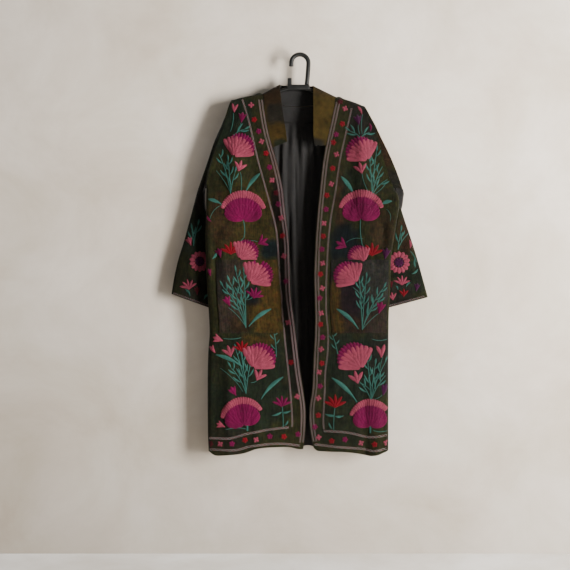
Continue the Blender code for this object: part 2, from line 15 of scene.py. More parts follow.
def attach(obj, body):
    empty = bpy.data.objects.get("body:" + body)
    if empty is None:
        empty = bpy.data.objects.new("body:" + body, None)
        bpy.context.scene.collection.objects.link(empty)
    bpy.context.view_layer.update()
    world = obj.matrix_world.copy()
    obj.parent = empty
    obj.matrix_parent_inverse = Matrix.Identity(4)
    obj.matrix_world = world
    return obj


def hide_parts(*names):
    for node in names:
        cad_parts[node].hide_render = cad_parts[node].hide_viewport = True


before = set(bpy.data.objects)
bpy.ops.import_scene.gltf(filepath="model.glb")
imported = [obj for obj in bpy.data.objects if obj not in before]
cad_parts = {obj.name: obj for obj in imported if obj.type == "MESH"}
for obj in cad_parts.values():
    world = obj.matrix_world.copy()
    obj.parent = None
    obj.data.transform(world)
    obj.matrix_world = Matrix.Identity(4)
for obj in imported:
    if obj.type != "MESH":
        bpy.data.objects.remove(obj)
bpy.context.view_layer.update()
bpy.ops.object.select_all(action="DESELECT")

MM = 0.001

# The hanger's hook
# One moulded bar of black plastic, 13 mm thick, bent over the nail and down into the hub. The rim
# of its tip is rounded, and its faint grain comes from the mould.
HOOK_RADIUS = 24.7 * MM   # of the bar's centre line
BAR_RADIUS = 6.5 * MM
BAR_SIDES = 28
HOOK_CENTRE = (0, 0, -18.2 * MM)
HOOK_TIP = (-HOOK_RADIUS, 0, -27.6 * MM)
POST_STEPS = ((24.1, 34.0), (22.2, 57.0), (20.0, 80.4))   # x and drop
BEND_STEPS = 26
RIM_ROUND = 1.6 * MM
PLASTIC_DARK = (0.0055, 0.0058, 0.0055, 1)
PLASTIC_RUBBED = (0.0150, 0.0155, 0.0150, 1)


def new_finish(name, shader_inputs):
    """A new material, and its shader with these inputs."""
    made = bpy.data.materials.new(name)
    made.use_nodes = True
    shader = made.node_tree.nodes["Principled BSDF"]
    for socket, value in shader_inputs.items():
        shader.inputs[socket].default_value = value
    return made, shader


def node(finish, kind, inputs=(), **settings):
    """A new node in a material, with these settings and then these inputs."""
    made = finish.node_tree.nodes.new("ShaderNode" + kind)
    for setting, value in settings.items():
        setattr(made, setting, value)
    for socket, value in dict(inputs).items():
        made.inputs[socket].default_value = value
    return made


def linked(finish, *wires):
    """Joins a material's nodes. Each wire is a node and its output, then a node and its input."""
    for source, output, target, socket in wires:
        finish.node_tree.links.new(source.outputs[output], target.inputs[socket])
    return finish


def black_plastic():
    """Satin black plastic: faint moulding grain, a little paler where it has been rubbed."""
    made, shader = new_finish("black_plastic", {"Specular IOR Level": 0.28})
    place = node(made, "TexCoord")
    grain = node(made, "TexNoise", {"Scale": 900})
    rubbed = node(made, "TexNoise", {"Scale": 45, "Detail": 5})
    tone = node(made, "ValToRGB")
    tone.color_ramp.elements[0].color = PLASTIC_DARK
    tone.color_ramp.elements[1].color = PLASTIC_RUBBED
    gloss = node(made, "MapRange", {"To Min": 0.36, "To Max": 0.55})
    bump = node(made, "Bump", {"Strength": 0.12, "Distance": 0.2 * MM})
    return linked(made, (place, "Object", grain, "Vector"), (place, "Object", rubbed, "Vector"),
                  (rubbed, "Fac", tone, "Fac"), (rubbed, "Fac", gloss, "Value"),
                  (grain, "Fac", bump, "Height"), (tone, "Color", shader, "Base Color"),
                  (gloss, "Result", shader, "Roughness"), (bump, "Normal", shader, "Normal"))


def disc(name, radius, place, turn=(0, 0, 0)):
    """The filled end of a round bar, left selected in edit mode to be drawn out."""
    bpy.ops.mesh.primitive_circle_add(vertices=BAR_SIDES, radius=radius, fill_type="NGON",
                                      location=place, rotation=turn)
    made = bpy.context.object
    made.name = name
    bpy.ops.object.transform_apply(location=True, rotation=True, scale=True)
    bpy.ops.object.mode_set(mode="EDIT")
    bpy.ops.mesh.select_all(action="SELECT")
    return made


def faced_out():
    """Turns every face of the mesh in edit mode outwards, and leaves edit mode."""
    bpy.ops.mesh.select_all(action="SELECT")
    bpy.ops.mesh.normals_make_consistent(inside=False)
    bpy.ops.object.mode_set(mode="OBJECT")


def settled(obj, angle=35):
    """Leaves the finished piece at the origin, its place in its mesh, shaded soft but for edges
    that turn by more than this angle."""
    bpy.ops.object.select_all(action="DESELECT")
    obj.select_set(True)
    bpy.context.view_layer.objects.active = obj
    bpy.ops.object.transform_apply(location=True, rotation=True, scale=True)
    bpy.ops.object.shade_smooth_by_angle(angle=math.radians(angle))
    bpy.ops.object.select_all(action="DESELECT")
    return obj


plastic = black_plastic()
hook = disc("hook", BAR_RADIUS, HOOK_TIP)
rise = (0, 0, HOOK_CENTRE[2] - HOOK_TIP[2])
bpy.ops.mesh.extrude_region_move(TRANSFORM_OT_translate={"value": rise})
bpy.ops.mesh.spin(steps=BEND_STEPS, angle=-math.pi, center=HOOK_CENTRE, axis=(0, 1, 0))
post_x, post_z = HOOK_RADIUS, HOOK_CENTRE[2]
for next_x, next_drop in POST_STEPS:
    step = (next_x * MM - post_x, 0, -next_drop * MM - post_z)
    bpy.ops.mesh.extrude_region_move(TRANSFORM_OT_translate={"value": step})
    post_x, post_z = next_x * MM, -next_drop * MM
faced_out()
round_tip = hook.modifiers.new("Tip", "BEVEL")
round_tip.width = RIM_ROUND
round_tip.segments = 3
round_tip.angle_limit = math.radians(60)
bpy.ops.object.modifier_apply(modifier="Tip")
hook.data.materials.append(plastic)
settled(hook)
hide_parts("hanger_hook")
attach(hook, "root")

# The hanger's body
# The same plastic: a flat hub with a short peg beside the post, and two round arms that slope to
# the shoulders. Each is modelled by itself, and a union makes them one moulding.
HUB_SIZE = (64.0 * MM, 14.0 * MM, 15.0 * MM)
HUB_CENTRE = (-4.0 * MM, 0, -88.5 * MM)
PEG_SIZE = (12.0 * MM, 9.0 * MM, 20.0 * MM)
PEG_CENTRE = (-29.5 * MM, 0, -72.0 * MM)
HUB_ROUND = 3.0 * MM
PEG_ROUND = 2.0 * MM
ARM_RADIUS = 5.5 * MM
ARM_TIP = 0.25            # length of an arm's rounded tip, as a share of its radius
ARM_TIP_SCALE = 0.55
RIGHT_ARM = ((-20, 90), (-57, 99), (-86, 110), (-108, 118.4), (-142, 124.7), (-171, 131.2),
             (-184, 137.2))
LEFT_ARM = ((12, 90), (51, 103), (74, 115.5), (103, 129.6), (137, 137.2), (163, 145.2),
            (174, 151.2))


def rounded_block(name, size, centre, bevel):
    """A box with all its edges rounded."""
    bpy.ops.mesh.primitive_cube_add(size=1, location=centre, scale=size)
    made = bpy.context.object
    made.name = name
    bpy.ops.object.transform_apply(location=True, rotation=True, scale=True)
    bpy.ops.object.mode_set(mode="EDIT")
    bpy.ops.mesh.select_all(action="SELECT")
    bpy.ops.mesh.bevel(offset=bevel, segments=4, profile=0.5)
    bpy.ops.object.mode_set(mode="OBJECT")
    return made


def arm(name, places):
    """A round bar along these places of x and drop, rounded at its far end."""
    points = [Vector((x, 0, -drop)) * MM for x, drop in places]
    made = disc(name, ARM_RADIUS, points[0], (0, math.pi / 2, 0))
    points.append(points[-1] + (points[-1] - points[-2]).normalized() * ARM_RADIUS * ARM_TIP)
    for start, end in zip(points, points[1:]):
        bpy.ops.mesh.extrude_region_move(TRANSFORM_OT_translate={"value": end - start})
    bpy.ops.transform.resize(value=(ARM_TIP_SCALE,) * 3, center_override=points[-1])
    faced_out()
    return made


hanger = rounded_block("hanger", HUB_SIZE, HUB_CENTRE, HUB_ROUND)
joined = [rounded_block("peg", PEG_SIZE, PEG_CENTRE, PEG_ROUND), arm("right_arm", RIGHT_ARM),
          arm("left_arm", LEFT_ARM)]
for piece in joined:
    union = hanger.modifiers.new(piece.name, "BOOLEAN")
    union.operation = "UNION"
    union.object = piece
    bpy.context.view_layer.objects.active = hanger
    bpy.ops.object.modifier_apply(modifier=piece.name)
    bpy.data.objects.remove(piece)
hanger.data.materials.clear()
hanger.data.materials.append(plastic)
settled(hanger)
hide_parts("hanger_arms")
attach(hanger, "root")

# The back
# One panel from the shoulders to the hem, of soft cotton dyed in uneven patches of moss, brown,
# ochre and charcoal, with a dark grey backing. It hangs in long soft folds from the arms.
SEAM_GAP = 0.4 * MM
SEAM_SETBACK = 0.5
SHOULDER_ROUND = 12.0
WALL = 1.7 * MM           # thickness of the cloth with its backing
GRID = 7.0 * MM           # spacing of the cloth's points
CLOTH_ANGLE = 50          # degrees up to which an edge of cloth is shaded soft
SHARP = 0.7               # cosine of the turn past which a fold in a row is kept as a corner
UNDERARM_DROP = 380.0
POCKET_TOP_DROP = 586.0
POCKET_FOOT_DROP = 795.0
ARMHOLE_ROWS = (170.0, 205.0, 240.0, 275.0, 315.0, 350.0, 371.0, UNDERARM_DROP)
SKIRT_ROWS = (395.0, 415.0, 440.0, 475.0, 515.0, 550.0, POCKET_TOP_DROP, 640.0, 695.0, 745.0,
              POCKET_FOOT_DROP, 850.0, 905.0, 960.0, 1010.0, 1055.0, 1092.0)
HEM_DROP = 1130.0
HEM_FADE = 160.0
SLANT_END = 400.0
SLANT_FADE = 230.0
NECK_END = 260.0
NECK_FADE = 130.0
RIGHT_TIP_DROP = 125.0
LEFT_TIP_DROP = 142.0
TURN_ANGLES = (0, 10, 35, 62, 90)
SHOULDER_ANGLES = (0, 12, 45, 90)
SHOULDER_SHARES = (0.33, 0.67)
RIGHT_SIDE = ((125, -194), (160, -205), (182, -210), (228, -225), (274, -242), (325, -258),
              (380, -268), (416, -268), (530, -270), (596, -268), (673, -265), (752, -260),
              (809, -259), (865, -264), (986, -265), (1092, -264), (1140, -262))
LEFT_SIDE = ((142, 182), (180, 200), (211, 216), (254, 228), (296, 239), (342, 253), (371, 265),
             (380, 270), (395, 279), (416, 284), (482, 276), (544, 265), (596, 259), (673, 258),
             (730, 254), (809, 254), (986, 254), (1131, 254))
SHOULDER = ((-194, 125), (-154, 115), (-108, 108), (105, 117), (137, 125), (171, 137), (182, 142))
HEM = ((-262, 1134), (-239, 1146), (-205, 1143), (-171, 1140), (-137, 1131), (-120, 1123),
       (-34, 1120), (0, 1126), (37, 1122), (51, 1131), (120, 1134), (154, 1137), (205, 1146),
       (239, 1137), (254, 1131))
NECK_COLUMNS = (-108, -102, -86, -57, -28, 0, 26, 51, 80, 99, 105)
BACK_NECK = ((-108, 108), (-86, 125), (-57, 137), (0, 142), (51, 137), (80, 128), (105, 117))
SEAM_DEPTH = ((380, -8), (390, -15), (400, -20), (416, -24), (450, -27), (660, -27), (745, -22),
              (800, -15), (900, -11), (1140, -9))
ARMHOLE_BACK = ((137, 12), (190, 16), (260, 16), (320, 12), (360, 4), (380, -1))
BACK_TURN_DEPTH = ((380, 7), (416, 7), (450, 9), (745, 10), (850, 16), (1140, 18))
LEFT_TURN_WIDTH = ((137, 3), (260, 6), (380, 10), (500, 13), (1140, 16))
BACK_DEPTH = ((12, 12), (60, 18), (120, 23), (270, 27), (640, 27), (700, 24), (1030, 20))
BACK_RAMP_START = ((137, 10), (330, 14), (410, 58), (745, 62), (810, 36), (1140, 38))
BACK_RAMP_END = ((137, 70), (330, 80), (410, 118), (745, 118), (810, 105), (1140, 105))
# Folds: x and drop of the upper end, x and drop of the lower end, half width, height.
FOLD_FADE = 0.25
BACK_FOLDS = ((-120, 240, -140, 1150, 26, 6), (-30, 260, -44, 1150, 24, 5),
              (60, 240, 52, 1150, 24, 5), (140, 260, 148, 1150, 26, 6),
              (-80, 600, -92, 1150, 20, -5), (100, 560, 104, 1150, 20, -5))
BACK_CREASES = ((-150, 160, -96, 330, 9, 2.2), (128, 165, 92, 300, 10, 2.4),
                (-210, 330, -130, 372, 7, -2.0), (222, 338, 150, 380, 8, -2.2),
                (-176, 420, -188, 640, 8, 2.0), (-8, 190, 14, 360, 12, 1.8),
                (190, 460, 176, 700, 9, 2.2), (-60, 700, -52, 960, 8, 1.8),
                (28, 620, 20, 900, 7, -1.6), (-214, 800, -220, 1150, 9, 2.2),
                (170, 820, 182, 1150, 9, 2.4), (76, 920, 70, 1150, 8, 1.8),
                (-14, 960, -20, 1150, 9, -2.0), (206, 700, 214, 860, 7, -1.8),
                (-40, 150, -70, 196, 6, 1.2), (52, 150, 80, 190, 6, 1.2))
SLUB_STRETCH = (1.0, 0.12, 1.0)   # thick places in the yarn run down the cloth

# Dyes, linear.
BACKING_GREY = (0.0140, 0.0135, 0.0130)
MOSS = (0.0120, 0.0128, 0.0044)
DARK_GREEN = (0.0060, 0.0092, 0.0052)
TEAL_BLACK = (0.0026, 0.0050, 0.0056)
CHARCOAL = (0.0078, 0.0074, 0.0062)
BROWN = (0.0165, 0.0092, 0.0044)
OCHRE = (0.0280, 0.0172, 0.0040)
PLUM_BLACK = (0.0062, 0.0036, 0.0048)
# A patch of dye: x and drop of its middle, half its width and height, its colour, its strength.
BACK_PATCHES = ((-180, 200, 70, 90, DARK_GREEN, 0.9), (160, 210, 80, 90, CHARCOAL, 0.8),
                (-10, 260, 90, 80, BROWN, 0.5), (-160, 460, 90, 80, BROWN, 0.6),
                (120, 480, 60, 110, OCHRE, 0.5), (10, 560, 70, 60, TEAL_BLACK, 0.7),
                (-200, 690, 50, 110, OCHRE, 0.55), (-60, 740, 70, 90, MOSS, 0.8),
                (150, 760, 80, 90, PLUM_BLACK, 0.6), (60, 900, 60, 60, OCHRE, 0.4),
                (-150, 960, 110, 130, DARK_GREEN, 0.9), (170, 980, 100, 120, DARK_GREEN, 0.8),
                (0, 1060, 80, 50, BROWN, 0.5))


def along(table, places):
    """A table's second column read at these places, by a smooth curve that never overshoots."""
    xs, ys = np.array(table, float).T
    slopes = np.diff(ys) / np.diff(xs)
    ends = np.concatenate([[slopes[0]], np.zeros(len(xs) - 2), [slopes[-1]]])
    same_way = slopes[:-1] * slopes[1:] > 0
    mean = 2 * slopes[:-1] * slopes[1:] / (slopes[:-1] + slopes[1:] + 1e-12)
    ends[1:-1][same_way] = mean[same_way]
    places = np.clip(np.asarray(places, float), xs[0], xs[-1])
    at = np.clip(np.searchsorted(xs, places, side="right") - 1, 0, len(xs) - 2)
    width = xs[at + 1] - xs[at]
    t = (places - xs[at]) / width
    return (ys[at] * (2 * t**3 - 3 * t**2 + 1) + ends[at] * width * (t**3 - 2 * t**2 + t)
            + ys[at + 1] * (3 * t**2 - 2 * t**3) + ends[at + 1] * width * (t**3 - t**2))


def ease(t):
    """0 to 1 with level ends."""
    t = np.clip(t, 0.0, 1.0)
    return t * t * (3 - 2 * t)


def fold_heights(folds, x, drop):
    """Sum of the soft ridges and troughs of a fold table."""
    total = np.zeros_like(x)
    for top_x, top_drop, foot_x, foot_drop, half_width, height in folds:
        run = np.array([foot_x - top_x, foot_drop - top_drop], float)
        t = ((x - top_x) * run[0] + (drop - top_drop) * run[1]) / (run @ run)
        across = ((x - top_x) * run[1] - (drop - top_drop) * run[0]) / np.linalg.norm(run)
        length = ease(t / FOLD_FADE)
        if foot_drop < HEM_DROP:
            length = length * ease((1 - t) / FOLD_FADE)
        total += height * length * np.exp(-((across / half_width) ** 2))
    return total


def panel_rows(top_drop):
    """Row drops of a panel: round the shoulder, then the armhole, the skirt and the hem."""
    shoulder = top_drop + SHOULDER_ROUND * (1 - np.cos(np.radians(SHOULDER_ANGLES)))
    return np.concatenate([shoulder, ARMHOLE_ROWS, SKIRT_ROWS, [HEM_DROP]])


def bend_over_arm(height):
    """Depth of the cloth round the hanger's arm, by height below the shoulder line."""
    t = np.clip(height / SHOULDER_ROUND, 0, 1)
    return SHOULDER_ROUND * np.sqrt(np.maximum(1 - (1 - t) ** 2, 0))


def side_turn(distance, width, depth):
    """Depth gained by a wall that turns a quarter of an ellipse away from its seam."""
    t = np.clip(distance / width, 0, 1)
    return depth * np.sqrt(np.maximum(1 - (1 - t) ** 2, 0))


def hem_and_shoulder(x, drop, top_drop):
    """Moves a row from its level drop to the slanted shoulder line and the waving hem."""
    to_top = along(SHOULDER, x) - top_drop
    to_hem = along(HEM, x) - HEM_DROP
    return (drop + to_top * ease((SLANT_END - drop) / SLANT_FADE)
            + to_hem * ease((drop - HEM_DROP + HEM_FADE) / HEM_FADE))


def back_top(x):
    """Drop of the back's upper edge: the shoulder lines and the neck between them."""
    at_neck = (x > BACK_NECK[0][0]) & (x < BACK_NECK[-1][0])
    return np.where(at_neck, along(BACK_NECK, x), along(SHOULDER, x))


def back_depth(x, level, drop):
    """y of the back's outer face, in mm."""
    left = along(RIGHT_SIDE, level)
    right = along(LEFT_SIDE, level)
    distance = np.minimum(x - left, right - x)
    height = drop - along(SHOULDER, x)
    depth = along(BACK_TURN_DEPTH, level)
    width = along(LEFT_TURN_WIDTH, level)
    start = along(BACK_RAMP_START, level)
    end = along(BACK_RAMP_END, level)
    round_side = along(SEAM_DEPTH, level) + SEAM_SETBACK + side_turn(distance, width, depth)
    open_side = along(ARMHOLE_BACK, level)
    turned = np.where(level < UNDERARM_DROP, open_side, round_side)
    full = np.where(level < UNDERARM_DROP, open_side,
                    along(SEAM_DEPTH, level) + SEAM_SETBACK + depth)
    middle = along(BACK_DEPTH, height)
    y = turned + (middle - full) * ease((distance - start) / (end - start))
    y += fold_heights(BACK_FOLDS, x, drop)
    return np.where(height < SHOULDER_ROUND, bend_over_arm(height) + SEAM_SETBACK, y)


def back_surface():
    """Outer face of the back, as rows of points from the wearer's right to the left, in metres."""
    rows = panel_rows(RIGHT_TIP_DROP)
    left = along(RIGHT_SIDE, rows)
    right = along(LEFT_SIDE, rows)
    turning = 1 - np.cos(np.radians(TURN_ANGLES))
    width = along(LEFT_TURN_WIDTH, rows)
    columns = [left + width * share for share in turning]
    start, end = columns[-1], right - width
    columns += [start + (NECK_COLUMNS[0] - start) * share for share in SHOULDER_SHARES]
    columns += [x + 0 * rows for x in NECK_COLUMNS]
    columns += [NECK_COLUMNS[-1] + (end - NECK_COLUMNS[-1]) * share for share in SHOULDER_SHARES]
    columns += [right - width * share for share in turning[::-1]]
    x = np.stack(columns, axis=1)
    level = rows[:, None] + 0 * x
    drop = hem_and_shoulder(x, level, RIGHT_TIP_DROP)
    drop += (back_top(x) - along(SHOULDER, x)) * ease((NECK_END - level) / NECK_FADE)
    y = back_depth(x, level, drop)
    return np.stack([x, y, -drop], axis=2) * MM


def refined_rows(grid, spacing, closed=False):
    """The grid with its rows drawn closer, on smooth curves through its points, and the new index
    of each old row. A sharp corner stays a corner."""
    if closed:
        grid = np.concatenate([grid[-2:], grid, grid[:3]])
    steps = np.linalg.norm(np.diff(grid, axis=0), axis=2).mean(axis=1) + 1e-9
    slopes = np.diff(grid, axis=0) / steps[:, None, None]
    before, after = steps[:-1, None, None], steps[1:, None, None]
    bends = (slopes[:-1] * after + slopes[1:] * before) / (before + after)
    ways = slopes / np.linalg.norm(slopes, axis=2, keepdims=True)
    straight = (ways[:-1] * ways[1:]).sum(axis=2, keepdims=True)
    ends = np.concatenate([slopes[:1], bends * np.clip(straight / SHARP, 0, 1), slopes[-1:]])
    made, starts = [], []
    first, last = (2, len(grid) - 3) if closed else (0, len(grid) - 1)
    for k in range(first, last):
        starts.append(len(made))
        count = max(1, math.ceil(steps[k] / spacing))
        for t in np.arange(count) / count:
            pull = ends[k] * (t**3 - 2 * t**2 + t) + ends[k + 1] * (t**3 - t**2)
            made.append(grid[k] * (2 * t**3 - 3 * t**2 + 1) + grid[k + 1] * (3 * t**2 - 2 * t**3)
                        + steps[k] * pull)
    if not closed:
        starts.append(len(made))
        made.append(grid[-1])
    return np.array(made), starts


def refined(grid, spacing=GRID, closed=False):
    """The grid refined both ways, with the new indices of its old rows and old columns."""
    made, rows = refined_rows(grid, spacing)
    made, columns = refined_rows(made.transpose(1, 0, 2), spacing, closed)
    return made.transpose(1, 0, 2), rows, columns


def lengths(grid, axis):
    """Distance walked over the cloth from its first row or column, in metres."""
    steps = np.linalg.norm(np.diff(grid, axis=axis), axis=2)
    walked = np.cumsum(steps, axis=axis)
    return np.insert(walked, 0, 0, axis=axis)


CLOUD_WAVES = 9
CLOUD_SIZES = (0.7, 1.6)  # of a wave, as shares of the cloud's own size
CLOUD_PHASES = (0, 6.3)   # radians
CLOUD_HEIGHT = 5.0        # which the sum of so many waves seldom passes
UNEVEN = ((0.8, 95), (0.35, 34))   # the cloth's unevenness: heights and sizes in mm
SEAM_STRIP = 18 * MM      # beside a seam, where the creases die out
PATCH_RAGGED = 0.22       # how far a patch of dye strays from its outline, as a share of its size
PATCH_LUMPS = 42
PATCH_SOLID = 0.72        # share of its size out to which a patch is solid
PATCH_FADE = 0.5          # share over which it then fades out
PATCH_SEEDS = 7           # from one patch's seed to the next
STAIN_SEEDS = 101         # from a piece's seed to its first stain's
STAINS = ((0.26, 60), (0.24, 19))   # strengths and sizes in mm
STAIN_LIMITS = (0.4, 1.8)


def cloud(x, z, size, seed):
    """A soft uneven field from -1 to 1, in lumps of about this size in mm."""
    draw = np.random.default_rng(seed)
    total = np.zeros_like(x)
    for _ in range(CLOUD_WAVES):
        way = draw.uniform(0, 2 * math.pi)
        pace = 2 * math.pi / (size * draw.uniform(*CLOUD_SIZES))
        phase = draw.uniform(*CLOUD_PHASES)
        total += np.sin((x * math.cos(way) + z * math.sin(way)) * pace + phase)
    return total / CLOUD_HEIGHT


def creased(grid, creases, toward, seed, edge=SEAM_STRIP, depth=1.0):
    """The cloth with its smaller creases and its unevenness, which die out towards its seams."""
    x, drop = grid[:, :, 0] / MM, -grid[:, :, 2] / MM
    across, down = lengths(grid, 1), lengths(grid, 0)
    inside = ease(np.minimum(across, across[:, -1:] - across) / edge) * ease(down / edge)
    height = depth * fold_heights(creases, x, drop)
    for number, (swell, size) in enumerate(UNEVEN):
        height += swell * cloud(x, drop, size, seed + number)
    made = grid.copy()
    made[:, :, 1] += toward * height * inside * MM
    return made


def dyed(grid, ground, patches, seed, tone=1.0):
    """Colour of the cloth at each point: soft-edged patches of dye over a mottled ground. The tone
    is how much of that colour is left, as painted shade over the whole piece."""
    x, drop = grid[:, :, 0] / MM, -grid[:, :, 2] / MM
    colour = np.zeros(x.shape + (3,)) + np.array(ground)
    for number, (middle_x, middle_drop, half_x, half_drop, dye, strength) in enumerate(patches):
        reach = np.abs(x - middle_x) / half_x, np.abs(drop - middle_drop) / half_drop
        reach = (reach[0] ** 3 + reach[1] ** 3) ** (1 / 3)
        reach += PATCH_RAGGED * cloud(x, drop, PATCH_LUMPS, seed + PATCH_SEEDS * number)
        share = strength * (1 - ease((reach - PATCH_SOLID) / PATCH_FADE))
        colour += (np.array(dye) - colour) * share[:, :, None]
    stain = np.ones_like(x)
    for number, (strength, size) in enumerate(STAINS, STAIN_SEEDS):
        stain += strength * cloud(x, drop, size, seed + number)
    return tone * colour * np.clip(stain, *STAIN_LIMITS)[:, :, None]


def cloth_finish(name, rough=0.95, sheen=0.05, thread=0.55 * MM, tint=None, mottle=0.75):
    """Woven cotton: the dye attribute or one tint, mottled, with threads of this width."""
    made, shader = new_finish(name, {"Roughness": rough, "Sheen Weight": sheen,
                                     "Sheen Roughness": 0.45, "Specular IOR Level": 0.1})
    place = node(made, "TexCoord")
    colour = node(made, "RGB") if tint else node(made, "Attribute", attribute_name="dye")
    if tint:
        colour.outputs[0].default_value = tint + (1,)
    speckle = node(made, "TexNoise", {"Scale": 120, "Detail": 6, "Roughness": 0.7})
    slubs = node(made, "TexNoise", {"Scale": 260, "Detail": 3})
    stretch = node(made, "Mapping", {"Scale": SLUB_STRETCH})
    mixed = node(made, "Math", {1: 0.5}, operation="MULTIPLY_ADD")
    halved = node(made, "Math", {1: 0.5}, operation="MULTIPLY")
    tone = node(made, "MapRange", {"From Min": 0.3, "From Max": 0.7, "To Min": 1 - mottle,
                                   "To Max": 1 + mottle})
    shade = node(made, "VectorMath", operation="SCALE")
    heather = node(made, "VectorMath", {1: (2 * mottle,) * 3, 2: (1 - mottle,) * 3},
                   operation="MULTIPLY_ADD")
    tinged = node(made, "VectorMath", operation="MULTIPLY")
    crossed = node(made, "Math", operation="MAXIMUM")
    for socket, way in enumerate(("X", "Y")):
        wave = node(made, "TexWave", {"Scale": math.pi / (10 * thread), "Distortion": 1.2,
                                      "Detail": 1}, bands_direction=way)
        linked(made, (place, "UV", wave, "Vector"), (wave, "Fac", crossed, socket))
    nap = node(made, "TexNoise", {"Scale": 700, "Detail": 3})
    height = node(made, "Math", operation="ADD")
    bump = node(made, "Bump", {"Strength": 0.5, "Distance": 0.35 * MM})
    return linked(made, (place, "UV", stretch, "Vector"), (stretch, "Vector", slubs, "Vector"),
                  (slubs, "Fac", mixed, 0), (speckle, "Fac", halved, 0),
                  (halved, "Value", mixed, 2), (place, "Object", speckle, "Vector"),
                  (place, "Object", nap, "Vector"), (mixed, "Value", tone, "Value"),
                  (colour, "Color", shade, 0), (tone, "Result", shade, "Scale"),
                  (crossed, "Value", height, 0), (nap, "Fac", height, 1),
                  (height, "Value", bump, "Height"), (speckle, "Color", heather, 0),
                  (shade, "Vector", tinged, 0), (heather, "Vector", tinged, 1),
                  (tinged, "Vector", shader, "Base Color"), (bump, "Normal", shader, "Normal"))


def squares(rows, columns, closed):
    """The corners of each square of a grid, each a row and a column. In a closed grid the last
    column is followed by the first."""
    for r in range(rows - 1):
        for c in range(columns if closed else columns - 1):
            yield (r, c), (r + 1, c), (r + 1, c + 1), (r, c + 1)


def new_piece(name, points, faces, places, finishes):
    """A mesh of these faces with a UV map, selected and active."""
    mesh = bpy.data.meshes.new(name)
    mesh.from_pydata(points, [], faces)
    mesh.uv_layers.new(name="UVMap").data.foreach_set("uv", np.array(places).ravel())
    for finish in finishes:
        mesh.materials.append(finish)
    made = bpy.data.objects.new(name, mesh)
    bpy.context.scene.collection.objects.link(made)
    bpy.context.view_layer.objects.active = made
    made.select_set(True)
    return made


def coloured(mesh, name, colours):
    """Gives each point of a mesh its colour, in an attribute of this name."""
    layer = mesh.color_attributes.new(name=name, type="FLOAT_COLOR", domain="POINT")
    layer.data.foreach_set("color", np.column_stack([colours, np.ones(len(colours))]).ravel())


def cloth_piece(name, grid, finishes, wall=WALL, closed=False, dye=None):
    """A piece of cloth on a grid of points: a thin wall behind its face, with a UV map in metres.
    The first finish is its face's and the second its back's. dye holds what dyed takes after the
    grid: the ground, the patches, a seed and a tone, which darkens the piece as painted shade."""
    rows, columns = grid.shape[:2]
    used = np.concatenate([grid, grid[:, :1]], axis=1) if closed else grid
    across, down = lengths(used, 1), lengths(used, 0)
    faces, places = [], []
    for corners in squares(rows, columns, closed):
        faces.append([r * columns + c % columns for r, c in corners])
        places += [(across[r, c], -down[r, c]) for r, c in corners]
    made = new_piece(name, grid.reshape(-1, 3).tolist(), faces, places, finishes)
    if dye:
        coloured(made.data, "dye", dyed(grid, *dye).reshape(-1, 3))
    thick = made.modifiers.new("Wall", "SOLIDIFY")
    thick.thickness = wall
    thick.offset = -1
    thick.material_offset = len(finishes) - 1
    bpy.ops.object.modifier_apply(modifier="Wall")
    return settled(made, CLOTH_ANGLE)


def declared(piece, node):
    """Hides the part that the finished cloth stands for, and parents the cloth to the root body."""
    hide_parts(node)
    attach(piece, "root")


coat_cloth = cloth_finish("coat_cloth")
backing = cloth_finish("backing", tint=BACKING_GREY, sheen=0.1, mottle=0.25)
back_solid = back_surface()
# The back's columns go from the wearer's right to the left, so it is turned round to face out.
back_grid = creased(refined(back_solid)[0], BACK_CREASES, 1, 11)
coat_back = cloth_piece("coat_back", back_grid[:, ::-1], (coat_cloth, backing),
                        dye=(MOSS, BACK_PATCHES, 21))
declared(coat_back, "back_panel")

# The lining and the neck strip
# Thin dark grey lining, gathered by hand to a strip under the back neck seam and hanging in long
# uneven pleats. Its edges are sewn in, and only the stretch between the fronts is seen.
LINING_TOP_DROP = 189.5
LINING_FOOT_DROP = 1118.0
LINING_ROWS = (LINING_TOP_DROP, 215, 245, 300, 380, 420, 520, 640, 745, 810, 900, 1010,
               LINING_FOOT_DROP)
LINING_HALF_WIDTH = 186.0
LINING_GREY = (0.0185, 0.0180, 0.0180)
PLEAT_PITCH = 26.0
PLEAT_COLUMNS = 4
PLEAT_HEIGHT = ((LINING_TOP_DROP, 2.0), (240, 9.0), (420, 11.0), (800, 9.0), (1118, 6.0))
LINING_STAND = ((LINING_TOP_DROP, 3.2), (215, 6.5), (250, 11.0), (LINING_FOOT_DROP, 11.0))
PLEAT_SHIFT = 5.0
PLEAT_LEAN = 10.0
PLEAT_WANDER = 0.16       # sideways, as a share of the pitch
WANDER_SIZE = 230.0
PLEAT_DEPTH = 0.72        # mean depth of a pleat, as a share of the deepest
PLEAT_SPREAD = 0.3        # how far the depths stray from the mean
PLEAT_LUMPS = 60.0        # size across of the deeper and shallower places
PLEAT_RUN = 0.4           # which are longer down the cloth by one over this
SHALLOWEST = 0.3
LINING_GRID = 5 * MM
LINING_SEAM = 9 * MM      # beside its edges, where the creases die out
